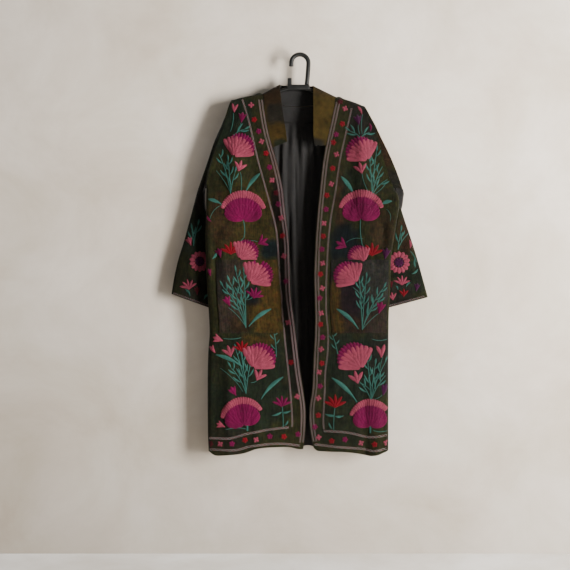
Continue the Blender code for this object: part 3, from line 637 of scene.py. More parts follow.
LINING_CREASES = ((-30, 196, -26, 300, 3, 1.4), (-16, 200, -10, 520, 3.5, -2.0),
                  (2, 195, 8, 290, 3, 1.6), (20, 198, 16, 380, 4, -1.8),
                  (38, 200, 40, 320, 3, 1.5), (-46, 205, -52, 360, 4, 1.6),
                  (10, 420, 22, 760, 5, 1.8), (30, 480, 26, 800, 4, -1.6),
                  (-8, 620, 4, 900, 4, 1.4), (-60, 300, -66, 540, 5, -1.6),
                  (66, 240, 72, 420, 5, 1.4), (90, 300, 96, 560, 6, -1.6),
                  (-8, 250, -4, 620, 7, 5.5), (-33, 230, -30, 470, 7, 4.5),
                  (32, 300, 36, 700, 8, -5.0), (18, 210, 20, 400, 6, 3.5),
                  (-21, 560, -18, 900, 8, -4.5), (45, 240, 47, 420, 6, 4.0),
                  (20, 640, 24, 980, 7, 4.0))
STRIP_WIDTH = 46.0
STRIP_HALF_LENGTH = 84.0
STRIP_STAND = 3.2
STRIP_TAPER = 0.3
STRIP_SEAM = 1.0
STRIP_COLUMNS = 16
STRIP_ROWS = 3
STRIP_LEVEL = 137.0       # the back's depth is read no higher, below its turn at the shoulder
STRIP_GRID = 4 * MM
STRIP_SEAM_WIDTH = 8 * MM
STRIP_CREASES = ((-16, 146, -2, 182, 3.5, 0.9), (4, 150, 16, 186, 3, -0.8),
                 (24, 146, 12, 176, 3, 0.8), (-40, 150, -30, 180, 4, 0.7))
THIN_WALL = 1.0 * MM


def lining_surface():
    """Back face of the lining, pleated, as rows of points, in metres."""
    count = int(2 * LINING_HALF_WIDTH / PLEAT_PITCH * PLEAT_COLUMNS)
    x = np.linspace(-LINING_HALF_WIDTH, LINING_HALF_WIDTH, count + 1)
    x, drop = np.meshgrid(x, np.array(LINING_ROWS, float))
    lean = PLEAT_LEAN * (drop - LINING_TOP_DROP) / (LINING_FOOT_DROP - LINING_TOP_DROP)
    phase = (x - PLEAT_SHIFT - lean) / PLEAT_PITCH
    phase += PLEAT_WANDER * cloud(x, drop, WANDER_SIZE, 35)
    ridge = along(PLEAT_HEIGHT, drop) * (0.5 + 0.5 * np.cos(2 * math.pi * phase))
    depth = PLEAT_DEPTH + PLEAT_SPREAD * cloud(x, drop * PLEAT_RUN, PLEAT_LUMPS, 36)
    ridge *= np.clip(depth, SHALLOWEST, 1.0)
    y = back_depth(x, drop, drop) - along(LINING_STAND, drop) - ridge
    return np.stack([x, y, -drop], axis=2) * MM


def strip_surface():
    """Back face of the neck strip, in metres."""
    x = np.linspace(-STRIP_HALF_LENGTH, STRIP_HALF_LENGTH, STRIP_COLUMNS + 1)
    top = along(BACK_NECK, x) + STRIP_SEAM
    shares = np.linspace(0, 1, STRIP_ROWS + 1)
    foot = top + STRIP_WIDTH * (1 - STRIP_TAPER * (np.abs(x) / STRIP_HALF_LENGTH) ** 2)
    drop = top + (foot - top) * shares[:, None]
    x = x + 0 * drop
    y = back_depth(x, np.maximum(drop, STRIP_LEVEL), drop) - STRIP_STAND
    return np.stack([x, y, -drop], axis=2) * MM


lining_cloth = cloth_finish("lining_cloth", tint=LINING_GREY, rough=0.9, sheen=0.06,
                            thread=0.35 * MM, mottle=0.16)
lining_grid = refined(lining_surface(), LINING_GRID)[0]
lining_grid = creased(lining_grid, LINING_CREASES, -1, 31, LINING_SEAM)
coat_lining = cloth_piece("coat_lining", lining_grid[:, ::-1], (lining_cloth,), THIN_WALL)
declared(coat_lining, "lining_back")
strip_grid = refined(strip_surface(), STRIP_GRID)[0]
strip_grid = creased(strip_grid, STRIP_CREASES, -1, 41, STRIP_SEAM_WIDTH)
coat_strip = cloth_piece("coat_neck_strip", strip_grid[:, ::-1], (lining_cloth,), THIN_WALL)
declared(coat_strip, "neck_strip")

# The fronts
# Two panels that hang open, each with an embroidered band down its edge. The wearer's right one
# curls towards the viewer below the chest, so its band is turned and in shade. The left is flat.
RIGHT_EDGE = ((108, -108), (202, -94), (259, -80), (288, -71), (390, -48), (430, -44), (542, -31),
              (673, -27), (781, -14), (923, 3), (1015, 16), (1066, 16), (1120, 9))
LEFT_EDGE = ((117, 105), (202, 87), (274, 71), (302, 66), (382, 57), (453, 50), (550, 43),
             (644, 40), (761, 43), (849, 39), (958, 34), (1020, 26), (1057, 27), (1120, 39))
RIGHT_BORDER = ((117, -168), (182, -148), (302, -120), (408, -91), (516, -66), (644, -57),
                (673, -54), (761, -48), (844, -40), (958, -28), (1057, -22), (1120, -28))
LEFT_BORDER = ((145, 150), (208, 135), (302, 114), (396, 100), (479, 86), (573, 78), (693, 74),
               (761, 76), (821, 82), (886, 73), (975, 70), (1040, 66), (1120, 76))
BODY_COLUMNS = 8
BAND_COLUMNS = 4
RIGHT_BORDER_COLUMN = 2.0
LEFT_BORDER_COLUMN = 12.0
ARMHOLE_FRONT = ((137, -12), (190, -17), (260, -19), (320, -19), (360, -17.5), (380, -16))
FRONT_TURN_DEPTH = ((380, 8), (416, 9), (450, 11), (745, 13), (850, 19), (1140, 21))
RIGHT_TURN_WIDTH = ((137, 3), (260, 6), (380, 10), (500, 18), (586, 28), (795, 30), (900, 38),
                    (1140, 38))
FRONT_DEPTH = ((12, -12), (50, -21), (110, -27), (300, -31), (700, -34), (1030, -32))
FRONT_RAMP = 75.0
RIGHT_CURL = ((108, 0.0), (350, 0.0), (400, 0.42), (520, 0.6), (650, 0.92), (720, 0.95),
              (800, 0.6), (900, 0.35), (1000, 0.2), (1120, 0.05))
LEFT_CURL = ((117, 0.0), (300, 0.04), (1120, 0.06))
RIGHT_FRONT_FOLDS = ((-186, 150, -196, 620, 20, 5), (-239, 480, -242, 700, 9, -6),
                     (-140, 200, -128, 520, 22, -4), (-232, 860, -236, 1150, 16, -5),
                     (-150, 960, -110, 1150, 24, 6), (-196, 840, -206, 1150, 18, 5))
LEFT_FRONT_FOLDS = ((172, 150, 196, 620, 22, 9), (128, 160, 150, 480, 16, -6),
                    (233, 460, 238, 590, 10, -6), (186, 930, 188, 1150, 10, -7),
                    (212, 900, 214, 1150, 14, 6), (110, 850, 96, 1150, 20, 4))
RIGHT_CREASES = ((-238, 470, -244, 660, 5, -2.4), (-252, 400, -214, 440, 6, 1.6),
                 (-246, 350, -196, 392, 7, -1.6), (-160, 130, -190, 230, 8, 1.6),
                 (-128, 330, -116, 520, 6, 1.4), (-222, 540, -206, 700, 6, 1.6),
                 (-94, 560, -84, 760, 6, -1.4), (-170, 600, -176, 780, 5, 1.2),
                 (-236, 800, -244, 1100, 6, -2.4), (-210, 850, -204, 1060, 7, 1.8),
                 (-120, 820, -92, 1000, 6, 1.4), (-60, 860, -48, 1100, 6, -1.5),
                 (-140, 1000, -150, 1150, 7, -1.8), (-80, 1010, -70, 1150, 7, 1.6),
                 (-30, 700, -10, 960, 5, 1.0), (-180, 1010, -176, 1150, 6, 1.5))
LEFT_CREASES = ((148, 160, 166, 330, 7, -2.0), (214, 190, 236, 330, 7, 1.8),
                (196, 300, 176, 400, 7, -1.6), (238, 400, 196, 452, 7, 1.8),
                (246, 350, 214, 380, 6, -1.6), (238, 476, 242, 560, 5, -2.6),
                (152, 420, 138, 560, 7, 1.5), (104, 520, 110, 640, 6, 1.2),
                (196, 610, 190, 760, 6, 1.4), (224, 600, 232, 700, 5, -1.2),
                (188, 960, 189, 1150, 5, -2.6), (128, 860, 118, 1100, 7, 1.6),
                (228, 840, 222, 1010, 6, 1.8), (160, 880, 168, 1120, 7, 1.6),
                (84, 700, 90, 900, 5, -1.2), (240, 1000, 236, 1150, 6, -1.6))
# The plum-black and charcoal patches down the band below the chest are partly the cloth's dye and
# partly painted shade of the curled band.
RIGHT_PATCHES = ((-200, 190, 62, 95, DARK_GREEN, 1.0), (-190, 330, 70, 60, MOSS, 0.8),
                 (-150, 470, 95, 95, OCHRE, 0.42), (-225, 470, 34, 70, BROWN, 0.7),
                 (-85, 556, 26, 28, TEAL_BLACK, 1.0), (-110, 150, 24, 60, MOSS, 0.6),
                 (-70, 300, 22, 60, BROWN, 0.7), (-60, 420, 22, 70, PLUM_BLACK, 0.8),
                 (-38, 620, 24, 150, CHARCOAL, 0.9), (-20, 850, 24, 130, CHARCOAL, 0.85),
                 (-150, 940, 125, 150, DARK_GREEN, 0.95), (-114, 816, 46, 18, OCHRE, 0.75),
                 (-215, 900, 40, 60, MOSS, 0.4), (-200, 1100, 60, 40, CHARCOAL, 0.5))
LEFT_PATCHES = ((171, 205, 55, 95, CHARCOAL, 0.85), (120, 200, 22, 90, MOSS, 0.9),
                (117, 450, 15, 120, BROWN, 0.95), (220, 400, 60, 110, MOSS, 0.6),
                (150, 380, 34, 60, DARK_GREEN, 0.8), (130, 540, 44, 50, TEAL_BLACK, 1.0),
                (232, 500, 36, 60, BROWN, 0.7), (56, 420, 22, 200, MOSS, 1.0),
                (56, 800, 22, 220, MOSS, 0.9), (160, 900, 95, 110, DARK_GREEN, 1.0),
                (230, 860, 34, 70, CHARCOAL, 0.7), (120, 1060, 90, 60, DARK_GREEN, 0.7),
                (210, 1040, 50, 60, MOSS, 0.7))
CREASE_DEPTH = 1.4        # times the heights in the fronts' two tables of creases
LEFT_PAINTED_SHADE = 0.74          # painted shade: what cloth and wool keep of their colour on the darker left side
SLANT_ROUNDS = 4          # of moving a line to its slanted rows, after which it lies still


def slanted_line(table, rows, top_drop):
    """x of a line down a panel at each row, read at the drop where the slanted row crosses it."""
    x = along(table, rows)
    for _ in range(SLANT_ROUNDS):
        x = along(table, hem_and_shoulder(x, rows, top_drop))
    return x


def front_columns(side, border, edge, turn, border_column):
    """x of each column of a front: the side turn, the body of the panel, then its border."""
    turning = 1 - np.cos(np.radians(TURN_ANGLES))
    body = np.linspace(0, 1, BODY_COLUMNS + 1)[1:]
    band = np.linspace(0, 1, BAND_COLUMNS + 1)[1:]
    inward = 1 if side[0] < 0 else -1
    columns = [side + inward * turn * share for share in turning]
    start = columns[-1]
    last = border - inward * border_column
    columns += [start + (last - start) * share for share in body]
    columns += [border]
    columns += [border + (edge - border) * share for share in band]
    return np.stack(columns, axis=1)


def front_depth(x, level, drop, side_table, border_table, turn_table, folds, curl):
    """y of a front's outer face, in mm, at x and at the drop of its row."""
    inward = 1 if side_table[0][1] < 0 else -1
    distance = np.abs(x - along(side_table, level))
    height = drop - along(SHOULDER, x)
    width = along(turn_table, level)
    depth = along(FRONT_TURN_DEPTH, level)
    seam = along(SEAM_DEPTH, level) - SEAM_SETBACK
    open_side = along(ARMHOLE_FRONT, level)
    above = level < UNDERARM_DROP
    turned = np.where(above, open_side, seam - side_turn(distance, width, depth))
    full = np.where(above, open_side, seam - depth)
    y = turned + (along(FRONT_DEPTH, height) - full) * ease((distance - width) / FRONT_RAMP)
    y -= fold_heights(folds, x, drop)
    past_border = np.maximum(inward * (x - along(border_table, level)), 0)
    y -= along(curl, level) * past_border
    return np.where(height < SHOULDER_ROUND, -bend_over_arm(height) - SEAM_SETBACK, y)


def front_surface(side_table, border_table, edge_table, turn_table, folds, curl, border_column,
                  top_drop):
    """Outer face of a front, as rows of points from the side seam to the opening, in metres."""
    rows = panel_rows(top_drop)
    side = along(side_table, rows)
    border = slanted_line(border_table, rows, top_drop)
    edge = slanted_line(edge_table, rows, top_drop)
    x = front_columns(side, border, edge, along(turn_table, rows), border_column)
    level = rows[:, None] + 0 * x
    drop = hem_and_shoulder(x, level, top_drop)
    y = front_depth(x, level, drop, side_table, border_table, turn_table, folds, curl)
    return np.stack([x, y, -drop], axis=2) * MM


right_solid = front_surface(RIGHT_SIDE, RIGHT_BORDER, RIGHT_EDGE, RIGHT_TURN_WIDTH,
                            RIGHT_FRONT_FOLDS, RIGHT_CURL, RIGHT_BORDER_COLUMN, RIGHT_TIP_DROP)
left_solid = front_surface(LEFT_SIDE, LEFT_BORDER, LEFT_EDGE, LEFT_TURN_WIDTH,
                           LEFT_FRONT_FOLDS, LEFT_CURL, LEFT_BORDER_COLUMN, LEFT_TIP_DROP)
right_grid, right_rows, right_columns = refined(right_solid)
left_grid, left_rows, left_columns = refined(left_solid)
right_grid = creased(right_grid, RIGHT_CREASES, -1, 51, depth=CREASE_DEPTH)
left_grid = creased(left_grid, LEFT_CREASES, -1, 61, depth=CREASE_DEPTH)
# Column 0 of each front is at the side seam, so the left one is turned round to face out.
coat_right = cloth_piece("coat_front_right", right_grid, (coat_cloth, backing),
                         dye=(MOSS, RIGHT_PATCHES, 71))
# The left front's colour is darkened by painted shade.
coat_left = cloth_piece("coat_front_left", left_grid[:, ::-1], (coat_cloth, backing),
                        dye=(MOSS, LEFT_PATCHES, 81, LEFT_PAINTED_SHADE))
declared(coat_right, "front_right")
declared(coat_left, "front_left")

# The pockets
# A square patch of the same cloth on each front, sewn down on three sides and open at the top.
# Each is cut across its own patches of dye, so it doesn't match the cloth under it.
POCKET_STAND = 2.3 * MM   # from the front's face to the pocket's own
POCKET_WALL = 1.4 * MM
RIGHT_POCKET_COLUMNS = (4, 12)
LEFT_POCKET_COLUMNS = (3, 12)
POCKET_SEAM = 12 * MM     # beside its edges, where the creases die out
TAUPE = (0.0175, 0.0125, 0.0092)
SLATE = (0.0155, 0.0158, 0.0135)
RIGHT_POCKET_PATCHES = ((-206, 692, 46, 130, TAUPE, 0.95), (-228, 640, 20, 60, CHARCOAL, 0.7),
                        (-96, 700, 50, 130, OCHRE, 0.95), (-134, 684, 22, 30, TEAL_BLACK, 0.9),
                        (-168, 770, 30, 24, BROWN, 0.8))
LEFT_POCKET_PATCHES = ((104, 730, 28, 90, OCHRE, 0.95), (142, 690, 30, 80, PLUM_BLACK, 0.95),
                       (216, 648, 50, 62, SLATE, 1.0), (226, 756, 44, 56, TAUPE, 0.8),
                       (160, 776, 34, 26, BROWN, 0.7))
POCKET_CREASES = ((-216, 600, -204, 700, 6, 1.4), (-150, 640, -142, 760, 5, -1.0),
                  (-90, 606, -98, 700, 5, 0.9), (128, 610, 134, 720, 5, -1.0),
                  (214, 602, 232, 650, 5, 1.3), (196, 640, 210, 780, 6, 1.2))


def outward_normals(grid):
    """Unit normals of an open grid that point towards the viewer."""
    normals = np.cross(np.gradient(grid, axis=0), np.gradient(grid, axis=1))
    normals = normals / np.linalg.norm(normals, axis=2, keepdims=True)
    return np.where(normals[:, :, 1:2] > 0, -normals, normals)


def pocket_grid(front, rows, columns, covered, seed):
    """The front's own points between two rows and two columns, moved out to the pocket's face."""
    waist = len(SHOULDER_ANGLES) + len(ARMHOLE_ROWS)
    first = rows[waist + SKIRT_ROWS.index(POCKET_TOP_DROP)]
    last = rows[waist + SKIRT_ROWS.index(POCKET_FOOT_DROP)]
    moved = front + outward_normals(front) * POCKET_STAND
    part = moved[first:last + 1, columns[covered[0]]:columns[covered[1]] + 1]
    return creased(part, POCKET_CREASES, -1, seed, POCKET_SEAM)


right_pocket = pocket_grid(right_grid, right_rows, right_columns, RIGHT_POCKET_COLUMNS, 91)
left_pocket = pocket_grid(left_grid, left_rows, left_columns, LEFT_POCKET_COLUMNS, 95)
coat_pocket_right = cloth_piece("coat_pocket_right", right_pocket, (coat_cloth,), POCKET_WALL,
                                dye=(MOSS, RIGHT_POCKET_PATCHES, 97))
# The left pocket is darkened by the same painted shade.
coat_pocket_left = cloth_piece("coat_pocket_left", left_pocket[:, ::-1], (coat_cloth,),
                               POCKET_WALL, dye=(CHARCOAL, LEFT_POCKET_PATCHES, 99, LEFT_PAINTED_SHADE))
declared(coat_pocket_right, "pocket_right")
declared(coat_pocket_left, "pocket_left")

# The collar
# A band about 60 mm wide in olive cloth, sewn round the neck and a short way down both fronts.
# Its free edge stands a little open, so its dark grey inner side shows at the back.
COLLAR_END_DROP = 275.0
COLLAR_GAP = 0.6 * MM
SHOULDER_GAP = 2.1 * MM
# Its free edge from the right end to the left: x, drop and depth.
COLLAR_FREE = ((-37, 250, -35), (-41, 215, -33), (-46, 185, -30), (-51, 150, -26),
               (-56, 108, -18), (-58, 92, -11), (-58.5, 83, -4), (-58, 80, 0),
               (-57, 80, 4), (-53, 80.5, 10), (-40, 81, 15.5), (-20, 80.3, 18.5),
               (0, 80, 19.3), (15, 80.5, 18.8), (27, 82, 15.5), (34, 83, 10), (37, 83.5, 4),
               (38, 83.5, 0), (38.5, 86, -4), (38.5, 95, -11), (38, 112, -18),
               (38, 155, -27), (38, 190, -31), (38, 222, -33), (41, 260, -35))
COLLAR_COLUMNS = 4
COLLAR_GRID = 4 * MM
COLLAR_PATCHES = ((-80, 112, 34, 34, BROWN, 0.9), (-66, 168, 30, 34, CHARCOAL, 0.9),
                  (-66, 222, 18, 22, OCHRE, 0.9), (-56, 258, 18, 16, DARK_GREEN, 0.9),
                  (70, 100, 34, 20, BROWN, 0.35), (56, 180, 18, 50, OCHRE, 0.35),
                  (50, 256, 26, 18, CHARCOAL, 0.95))
OLIVE = (0.027, 0.0185, 0.0042)


def collar_surface(right, left, back):
    """The collar's face that shows on the fronts, from its seam edge to its free edge.

    The seam edge follows the opening edges of both fronts and the neck of the back."""
    count = len(SHOULDER_ANGLES) + ARMHOLE_ROWS.index(COLLAR_END_DROP) + 1
    first = len(TURN_ANGLES) + len(SHOULDER_SHARES)
    neck = back[0, first:first + len(NECK_COLUMNS)]
    gap = np.zeros((count, 3))
    gap[:, 0] = COLLAR_GAP
    gap[:len(SHOULDER_ANGLES), 0] = SHOULDER_GAP
    right_edge = right[:count, -1] + gap
    left_edge = left[:count, -1] - gap
    neck = neck + np.array([0, 0, COLLAR_GAP])
    neck[[0, -1], 1] = 0
    seam = np.concatenate([right_edge[:0:-1], neck, left_edge[1:]])
    free = np.array(COLLAR_FREE, float)
    free = np.stack([free[:, 0], free[:, 2], -free[:, 1]], axis=1) * MM
    shares = np.linspace(0.0, 1.0, COLLAR_COLUMNS + 1)[:, None, None]
    return seam + (free - seam) * shares


collar_grid = refined(collar_surface(right_solid, left_solid, back_solid), COLLAR_GRID)[0]
collar_cloth = cloth_finish("collar_cloth", mottle=0.35)
coat_collar = cloth_piece("coat_collar", collar_grid, (collar_cloth, lining_cloth),
                          dye=(OLIVE, COLLAR_PATCHES, 111))
declared(coat_collar, "collar")

# The sleeves
# Wide sleeves set into the armholes, of the same cloth, each with an embroidered row at its cuff.
# They hang beside the body, and the skirt's side seams lie in front of them.
RIGHT_RINGS = ((-205, 148, -278, 388, 3, 0, -4, 16), (-224, 194, -280, 406, 5, 1, 3, 15.5),
               (-244, 239, -277, 436, 8, 2, 9, 15), (-261, 288, -268, 470, 11, 4, 12, 15),
               (-278, 336, -256, 507, 10, 5, 13, 15), (-295, 385, -247, 544, 4, 7, 13, 15),
               (-308, 433, -239, 581, 0, 8, 13, 15), (-322, 485, -234, 616, 0, 8, 13, 15),
               (-336, 536, -229, 650, 0, 8, 13, 15), (-352, 587, -226, 681, 0, 8, 12, 14),
               (-363, 636, -223, 710, 0, 8, 11, 13), (-371, 684, -220, 738, 0, 8, 10, 12))
LEFT_RINGS = ((190, 156, 296, 390, 7, 0, -4, 16), (210, 187, 297, 408, 6, 1, 3, 15.5),
              (230, 228, 293, 438, 9, 2, 9, 15), (242, 274, 281, 472, 15, 4, 12, 15),
              (256, 320, 270, 508, 18, 5, 13, 15), (273, 372, 259, 545, 16, 7, 13, 15),
              (288, 423, 249, 582, 8, 8, 13, 15), (303, 470, 241, 616, 0, 8, 13, 15),
              (320, 520, 235, 649, 0, 8, 13, 15), (338, 577, 230, 680, 0, 8, 12, 14),
              (355, 638, 226, 707, 0, 8, 11, 13), (370, 693, 223, 732, 0, 8, 10, 12))
RING_POWER = 2.5
SLEEVE_LIP = 2.5 * MM
# Creases of the sleeves' front, and the same again on their backs.
SLEEVE_CREASES = ((-262, 410, -300, 470, 7, 2.2), (-250, 470, -292, 540, 7, -2.0),
                  (-330, 540, -300, 690, 8, 1.8), (-290, 620, -280, 720, 6, -1.6),
                  (-236, 230, -272, 330, 7, 1.5), (262, 300, 286, 410, 8, 1.8),
                  (300, 430, 272, 500, 7, 2.4), (318, 500, 286, 570, 7, -2.0),
                  (330, 560, 316, 690, 8, 1.8), (280, 620, 276, 710, 6, -1.6))
SLEEVE_PATCHES = ((-240, 250, 40, 80, DARK_GREEN, 0.9), (-285, 400, 34, 50, PLUM_BLACK, 0.8),
                  (-300, 520, 50, 70, DARK_GREEN, 0.9), (-330, 600, 40, 40, MOSS, 0.6),
                  (-290, 680, 50, 50, CHARCOAL, 0.7), (-240, 640, 26, 90, TEAL_BLACK, 0.7),
                  (238, 270, 26, 72, BROWN, 1.0), (270, 380, 24, 50, CHARCOAL, 0.8),
                  (313, 520, 36, 52, BROWN, 0.95), (320, 630, 50, 50, DARK_GREEN, 0.9),
                  (280, 690, 50, 40, CHARCOAL, 0.8))
SLEEVE_FLANK = 9 * MM     # half the depth in which a crease passes from the front to the back
SLEEVE_SEAM = 30 * MM     # below the armhole, where no crease starts
SLEEVE_FADE = 40 * MM
SLEEVE_SWELL = 0.9
SLEEVE_LUMPS = 80.0
RIGHT_SLEEVE_PAINTED_SHADE = 0.6   # painted shade: what the darkest piece keeps of its colour


def sleeve_surface(front, back, rings):
    """Outer face of a sleeve, as closed rings from the armhole to the cuff, in metres.

    The first ring is the armhole, read from the edges of the front and of the back."""
    count = len(SHOULDER_ANGLES) + len(ARMHOLE_ROWS)
    outward = -1 if rings[0][0] < 0 else 1
    front_edge = front[:count]
    back_edge = back[:count]
    armhole = np.concatenate([front_edge, back_edge[-2:0:-1]])
    armhole[0, 1] = 0
    armhole[count - 1, 1] = (front_edge[-1, 1] + back_edge[-1, 1]) / 2
    armhole[:, 0] += outward * SEAM_GAP
    top, foot = front_edge[0, 2], front_edge[-1, 2]
    share = (top - front_edge[:, 2]) / (top - foot)
    half = (1 - np.abs(2 * share - 1) ** RING_POWER) ** (1 / RING_POWER)
    share = np.concatenate([share, share[-2:0:-1]])
    side = np.concatenate([-half, half[-2:0:-1]])
    made = [armhole, armhole + np.array([outward * SLEEVE_LIP, 0, 0])]
    for outer_x, outer_drop, inner_x, inner_drop, bow, outer_y, inner_y, thick in rings:
        x = outer_x + (inner_x - outer_x) * share + outward * bow * 4 * share * (1 - share)
        drop = outer_drop + (inner_drop - outer_drop) * share
        y = outer_y + (inner_y - outer_y) * share + thick * side
        made.append(np.stack([x, y, -drop], axis=1) * MM)
    return np.array(made)


def sleeve_grid(front, back, rings, seed):
    """The sleeve's fine rings, creased on both sides away from its seam and its folded edges."""
    grid = refined(sleeve_surface(front, back, rings), closed=True)[0]
    x, drop = grid[:, :, 0] / MM, -grid[:, :, 2] / MM
    middle = (grid[:, :, 1].min(axis=1) + grid[:, :, 1].max(axis=1))[:, None] / 2
    side = np.clip((grid[:, :, 1] - middle) / SLEEVE_FLANK, -1, 1)
    height = fold_heights(SLEEVE_CREASES, x, drop)
    height += SLEEVE_SWELL * cloud(x, drop, SLEEVE_LUMPS, seed)
    height *= ease((lengths(grid, 0) - SLEEVE_SEAM) / SLEEVE_FADE)
    grid[:, :, 1] += side * height * MM
    return grid


right_sleeve = sleeve_grid(right_solid[:, 0], back_solid[:, 0], RIGHT_RINGS, 121)
left_sleeve = sleeve_grid(left_solid[:, 0], back_solid[:, -1], LEFT_RINGS, 131)
# Each sleeve's cloth is darkened by a tone of painted shade.
coat_sleeve_right = cloth_piece("coat_sleeve_right", right_sleeve, (coat_cloth, backing),
                                closed=True, dye=(MOSS, SLEEVE_PATCHES, 141, RIGHT_SLEEVE_PAINTED_SHADE))
coat_sleeve_left = cloth_piece("coat_sleeve_left", left_sleeve[:, ::-1], (coat_cloth, backing),
                               closed=True, dye=(MOSS, SLEEVE_PATCHES, 151, LEFT_PAINTED_SHADE))
declared(coat_sleeve_right, "sleeve_right")
declared(coat_sleeve_left, "sleeve_left")

# The embroidery
# Wool worked by hand on the cloth: padded satin stitch for petals and leaves, thin stems, and
# braids of two threads down the openings and along the hems. The flowers are a common folk kind.
# All places are x and drop in mm, and a turn is in degrees from upright towards +x.
THREAD = 1.1 * MM
SUNK = -0.4               # the rim of a pad lies this far under the cloth's face
PAD_ACROSS = (0.0, 0.18, 0.5, 0.82, 1.0)
PAD_RISE = (0.0, 0.74, 1.0, 0.74, 0.0)
PETAL_CROWN = 1.5
STEM_CROWN = 1.1
RAY_START = 0.4           # metres in front of the coat
WOOL_ANGLE = 70           # degrees up to which an edge of stitching is shaded soft
YARNS = {"pink": (0.205, 0.034, 0.060), "magenta": (0.096, 0.0002, 0.031),
         "red": (0.128, 0.0010, 0.006), "dark_red": (0.045, 0.0010, 0.005),
         "teal": (0.023, 0.086, 0.071), "plum": (0.034, 0.0015, 0.026),
         "grey": (0.215, 0.200, 0.195), "rose": (0.235, 0.120, 0.130),
         "cotton": (0.0042, 0.0040, 0.0036)}
YARN_NAMES = tuple(YARNS)
YARN_SHADES = (0.62, 1.25)   # the darkest and the palest places in a yarn
TONE_SPREAD = 0.14        # how unevenly the wool took the dye
TONE_LUMPS = 60.0
TONE_SEED = 161


def wool(name, colour):
    """Dull fluffy wool, its threads side by side along U of the pad's UV map, toned by the tone
    attribute: painted shade on the darker pieces, times the uneven take of the dye."""
    made, shader = new_finish("wool_" + name, {"Roughness": 0.8, "Sheen Weight": 0.1,
                                               "Sheen Roughness": 0.4, "Specular IOR Level": 0.1})
    dark, pale = (tuple(min(1, c * shade) for c in colour) + (1,) for shade in YARN_SHADES)
    place = node(made, "TexCoord")
    threads = node(made, "TexWave", {"Scale": math.pi / (10 * THREAD), "Distortion": 1.6,
                                     "Detail": 2, "Detail Scale": 3}, bands_direction="X")
    uneven = node(made, "TexNoise", {"Scale": 120, "Detail": 5})
    tone = node(made, "Mix", {"A": dark, "B": pale}, data_type="RGBA")
    bump = node(made, "Bump", {"Strength": 0.7, "Distance": 0.5 * MM})
    painted_shade_and_dye = node(made, "Attribute", attribute_name="tone")
    toned = node(made, "VectorMath", operation="MULTIPLY")
    return linked(made, (tone, "Result", toned, 0), (painted_shade_and_dye, "Color", toned, 1),
                  (place, "UV", threads, "Vector"), (place, "Object", uneven, "Vector"),
                  (uneven, "Fac", tone, "Factor"), (toned, "Vector", shader, "Base Color"),
                  (threads, "Fac", bump, "Height"), (bump, "Normal", shader, "Normal"))


WOOLS = [wool(name, colour) for name, colour in YARNS.items()]


def new_work(piece, toward, cover=None, tone=1.0):
    """Stitching for one piece of cloth: what it is laid on, and the meshes of its pads so far.
    toward is the side of the coat along Y, cover is a patch that hides what it lies over, and tone
    is how much of its colour the wool keeps, as painted shade."""
    def tree_of(obj):
        mesh = obj.data
        return BVHTree.FromPolygons([v.co for v in mesh.vertices],
                                    [tuple(p.vertices) for p in mesh.polygons])
    return {"tree": tree_of(piece), "toward": toward, "cover": cover and tree_of(cover),
            "tone": tone, "points": [], "faces": [], "places": [], "yarns": []}


def on_cloth(work, place, tree=None):
    """Where a line along Y at this x and drop first meets the cloth, and the face's normal."""
    start = Vector((place[0] * MM, work["toward"] * RAY_START, -place[1] * MM))
    hit, normal, _, _ = (tree or work["tree"]).ray_cast(start, Vector((0, -work["toward"], 0)))
    if hit is not None and normal.y * work["toward"] < 0:
        normal = -normal
    return hit, normal


def pad(work, left, right, yarn, crown, lift=0.0):
    """Padded stitches between two edges, each a row of x and drop, left out where cloth ends. The
    lift is one height for all of it, or one for each row."""
    left, right = np.array(left, float), np.array(right, float)
    lift = np.zeros(len(left)) + lift
    middle = (left + right) / 2
    centre = middle[len(middle) // 2]
    if work["cover"] and on_cloth(work, centre, work["cover"])[0] is not None:
        return
    width = np.linalg.norm(right - left, axis=1)
    walked = walk(middle)
    points = []
    for start, end, span, raised in zip(left, right, width, lift):
        for across, rise in zip(PAD_ACROSS, PAD_RISE):
            hit, normal = on_cloth(work, start + (end - start) * across)
            if hit is None:
                return
            height = SUNK + (min(crown, span * 0.5) - SUNK) * rise + raised
            points.append(hit + normal * height * MM)
    first, count, last = len(work["points"]), len(PAD_ACROSS), len(middle) - 1
    work["points"] += points
    ends = [[(0, c) for c in range(count)], [(last, c) for c in range(count - 1, -1, -1)]]
    for corners in list(squares(last + 1, count, True)) + ends:
        work["faces"].append([first + r * count + c % count for r, c in corners])
        work["places"] += [(walked[r] * MM, PAD_ACROSS[c % count] * width[r] * MM)
                           for r, c in corners]
        work["yarns"].append(YARN_NAMES.index(yarn))


def finished_work(work, name):
    """The stitching as one mesh that rides with the coat."""
    made = new_piece(name, work["points"], work["faces"], work["places"], WOOLS)
    made.data.polygons.foreach_set("material_index", work["yarns"])
    x, _, z = np.array(work["points"]).T / MM
    # Painted shade from the work's tone, made uneven by how the wool took the dye.
    tones = work["tone"] * (1 + TONE_SPREAD * cloud(x, -z, TONE_LUMPS, TONE_SEED))
    coloured(made.data, "tone", np.column_stack([tones] * 3))
    bpy.ops.object.mode_set(mode="EDIT")
    faced_out()
    settled(made, WOOL_ANGLE)
    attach(made, "root")


def toward_turn(turn):
    """Unit step in x and drop for a turn from upright."""
    return np.array([math.sin(math.radians(turn)), -math.cos(math.radians(turn))])


